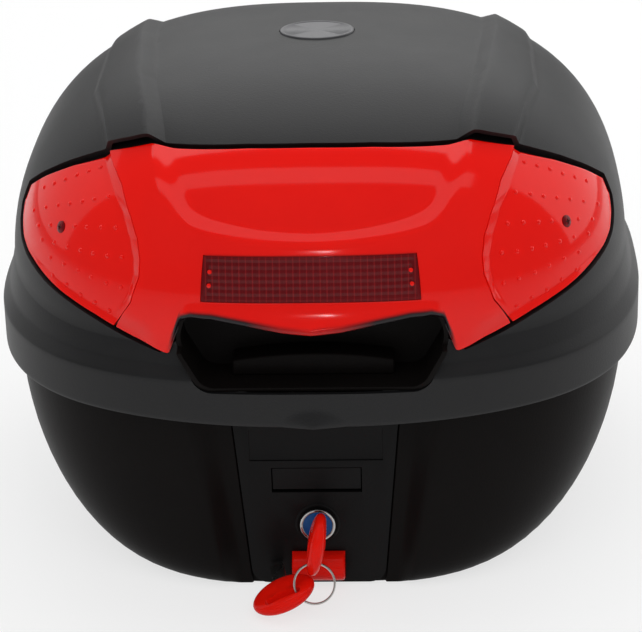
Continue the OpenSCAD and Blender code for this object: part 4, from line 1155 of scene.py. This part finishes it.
wire_up(tree, (spot, "Object", away, 0), (away, "Value", fade, "Value"), (path, "Is Glossy Ray", mirrored, 0),
        (fade, "Result", mirrored, 1), (path, "Is Camera Ray", seen, 0), (mirrored, 0, seen, 1),
        (seen, 0, seen_too, 0), (path, "Is Transmission Ray", seen_too, 1), (seen_too, 0, share, 0),
        (share, 0, white, "Fac"), (matt, 0, white, 1), (glow, 0, white, 2),
        (white, 0, tree.nodes["Material Output"], "Surface"))
paint(floor, floor_paint)

world = bpy.data.worlds.new("studio")
bpy.context.scene.world = world
world.use_nodes = True
sky = world.node_tree.nodes["Background"]
sky.inputs["Color"].default_value, sky.inputs["Strength"].default_value = (1, 1, 1, 1), 0.28


def lamp(name, spot, size, power, aim=(0, 0, 0.2)):
    start_clean()
    bpy.ops.object.light_add(type="AREA", location=spot)
    light = bpy.context.object
    light.name = name
    light.data.shape = "RECTANGLE"
    light.data.size, light.data.size_y = size
    light.data.energy = power
    light.rotation_euler = (Vector(aim) - Vector(spot)).to_track_quat("-Z", "Y").to_euler()
    return light


lamp("top_lamp", (0.0, 0.7, 1.9), (1.8, 1.4), 14)
lamp("back_lamp", (0.0, 2.4, 1.5), (2.6, 1.4), 17, aim=(0, 0, 0.25))
lamp("left_lamp", (-1.6, 0.9, 1.0), (2.3, 1.8), 7)
lamp("right_lamp", (1.6, 0.9, 1.0), (2.3, 1.8), 13)
lamp("over_lamp", (0.0, -0.62, 2.1), (2.4, 0.4), 2.8)
front_lamp = lamp("front_lamp", (0.0, -3.2, 3.2), (7.0, 4.4), 78)
front_lamp.visible_glossy = False

# %% [markdown]
# ## The camera
# The camera stands where the photographer stood, with a long lens, and is rolled a little because the picture is.
# A small lamp beside it gives the one sharp glint on the lens.

# %% Place the camera
DISTANCE, ELEVATION, AZIMUTH, ROLL, AIM_Z = 1.6, 22.0, 2.3, 1.5, 0.15
FOCAL_PX, SENSOR, FRAME_W, FRAME_H, TARGET_PX = 2560.0, 36.0, 642, 632, (322.0, 240.6)
e, az, roll = (math.radians(value) for value in (ELEVATION, AZIMUTH, ROLL))
ahead = Vector((-math.cos(e) * math.sin(az), math.cos(e) * math.cos(az), -math.sin(e)))
right = Vector((math.cos(az), math.sin(az), 0))
above = right.cross(ahead)
side_axis = right * math.cos(roll) - above * math.sin(roll)
up_axis = right * math.sin(roll) + above * math.cos(roll)
pitch = math.atan((FRAME_H / 2 - TARGET_PX[1]) / FOCAL_PX)
yaw = math.atan((FRAME_W / 2 - TARGET_PX[0]) / FOCAL_PX)
sight = (ahead * math.cos(pitch) - up_axis * math.sin(pitch)).normalized()
sight = (sight * math.cos(yaw) + side_axis * math.sin(yaw)).normalized()
side_axis = sight.cross(up_axis).normalized()
up_axis = side_axis.cross(sight).normalized()
start_clean()
bpy.ops.object.camera_add()
camera = bpy.context.object
camera.name = "photo_camera"
camera.data.sensor_width, camera.data.lens = SENSOR, FOCAL_PX * SENSOR / FRAME_W
camera.data.clip_end = 30
turn = Matrix((side_axis, up_axis, -sight)).transposed()
eye = Vector((0, 0, AIM_Z)) - ahead * DISTANCE
camera.matrix_world = Matrix.Translation(eye) @ turn.to_4x4()
bpy.context.scene.camera = camera
bpy.context.scene.view_settings.view_transform = "Standard"
lamp("glint_lamp", eye + Vector((-0.09, 0.0, 0.02)), (0.02, 0.02), 0.12)
print("camera", [round(v, 3) for v in eye])
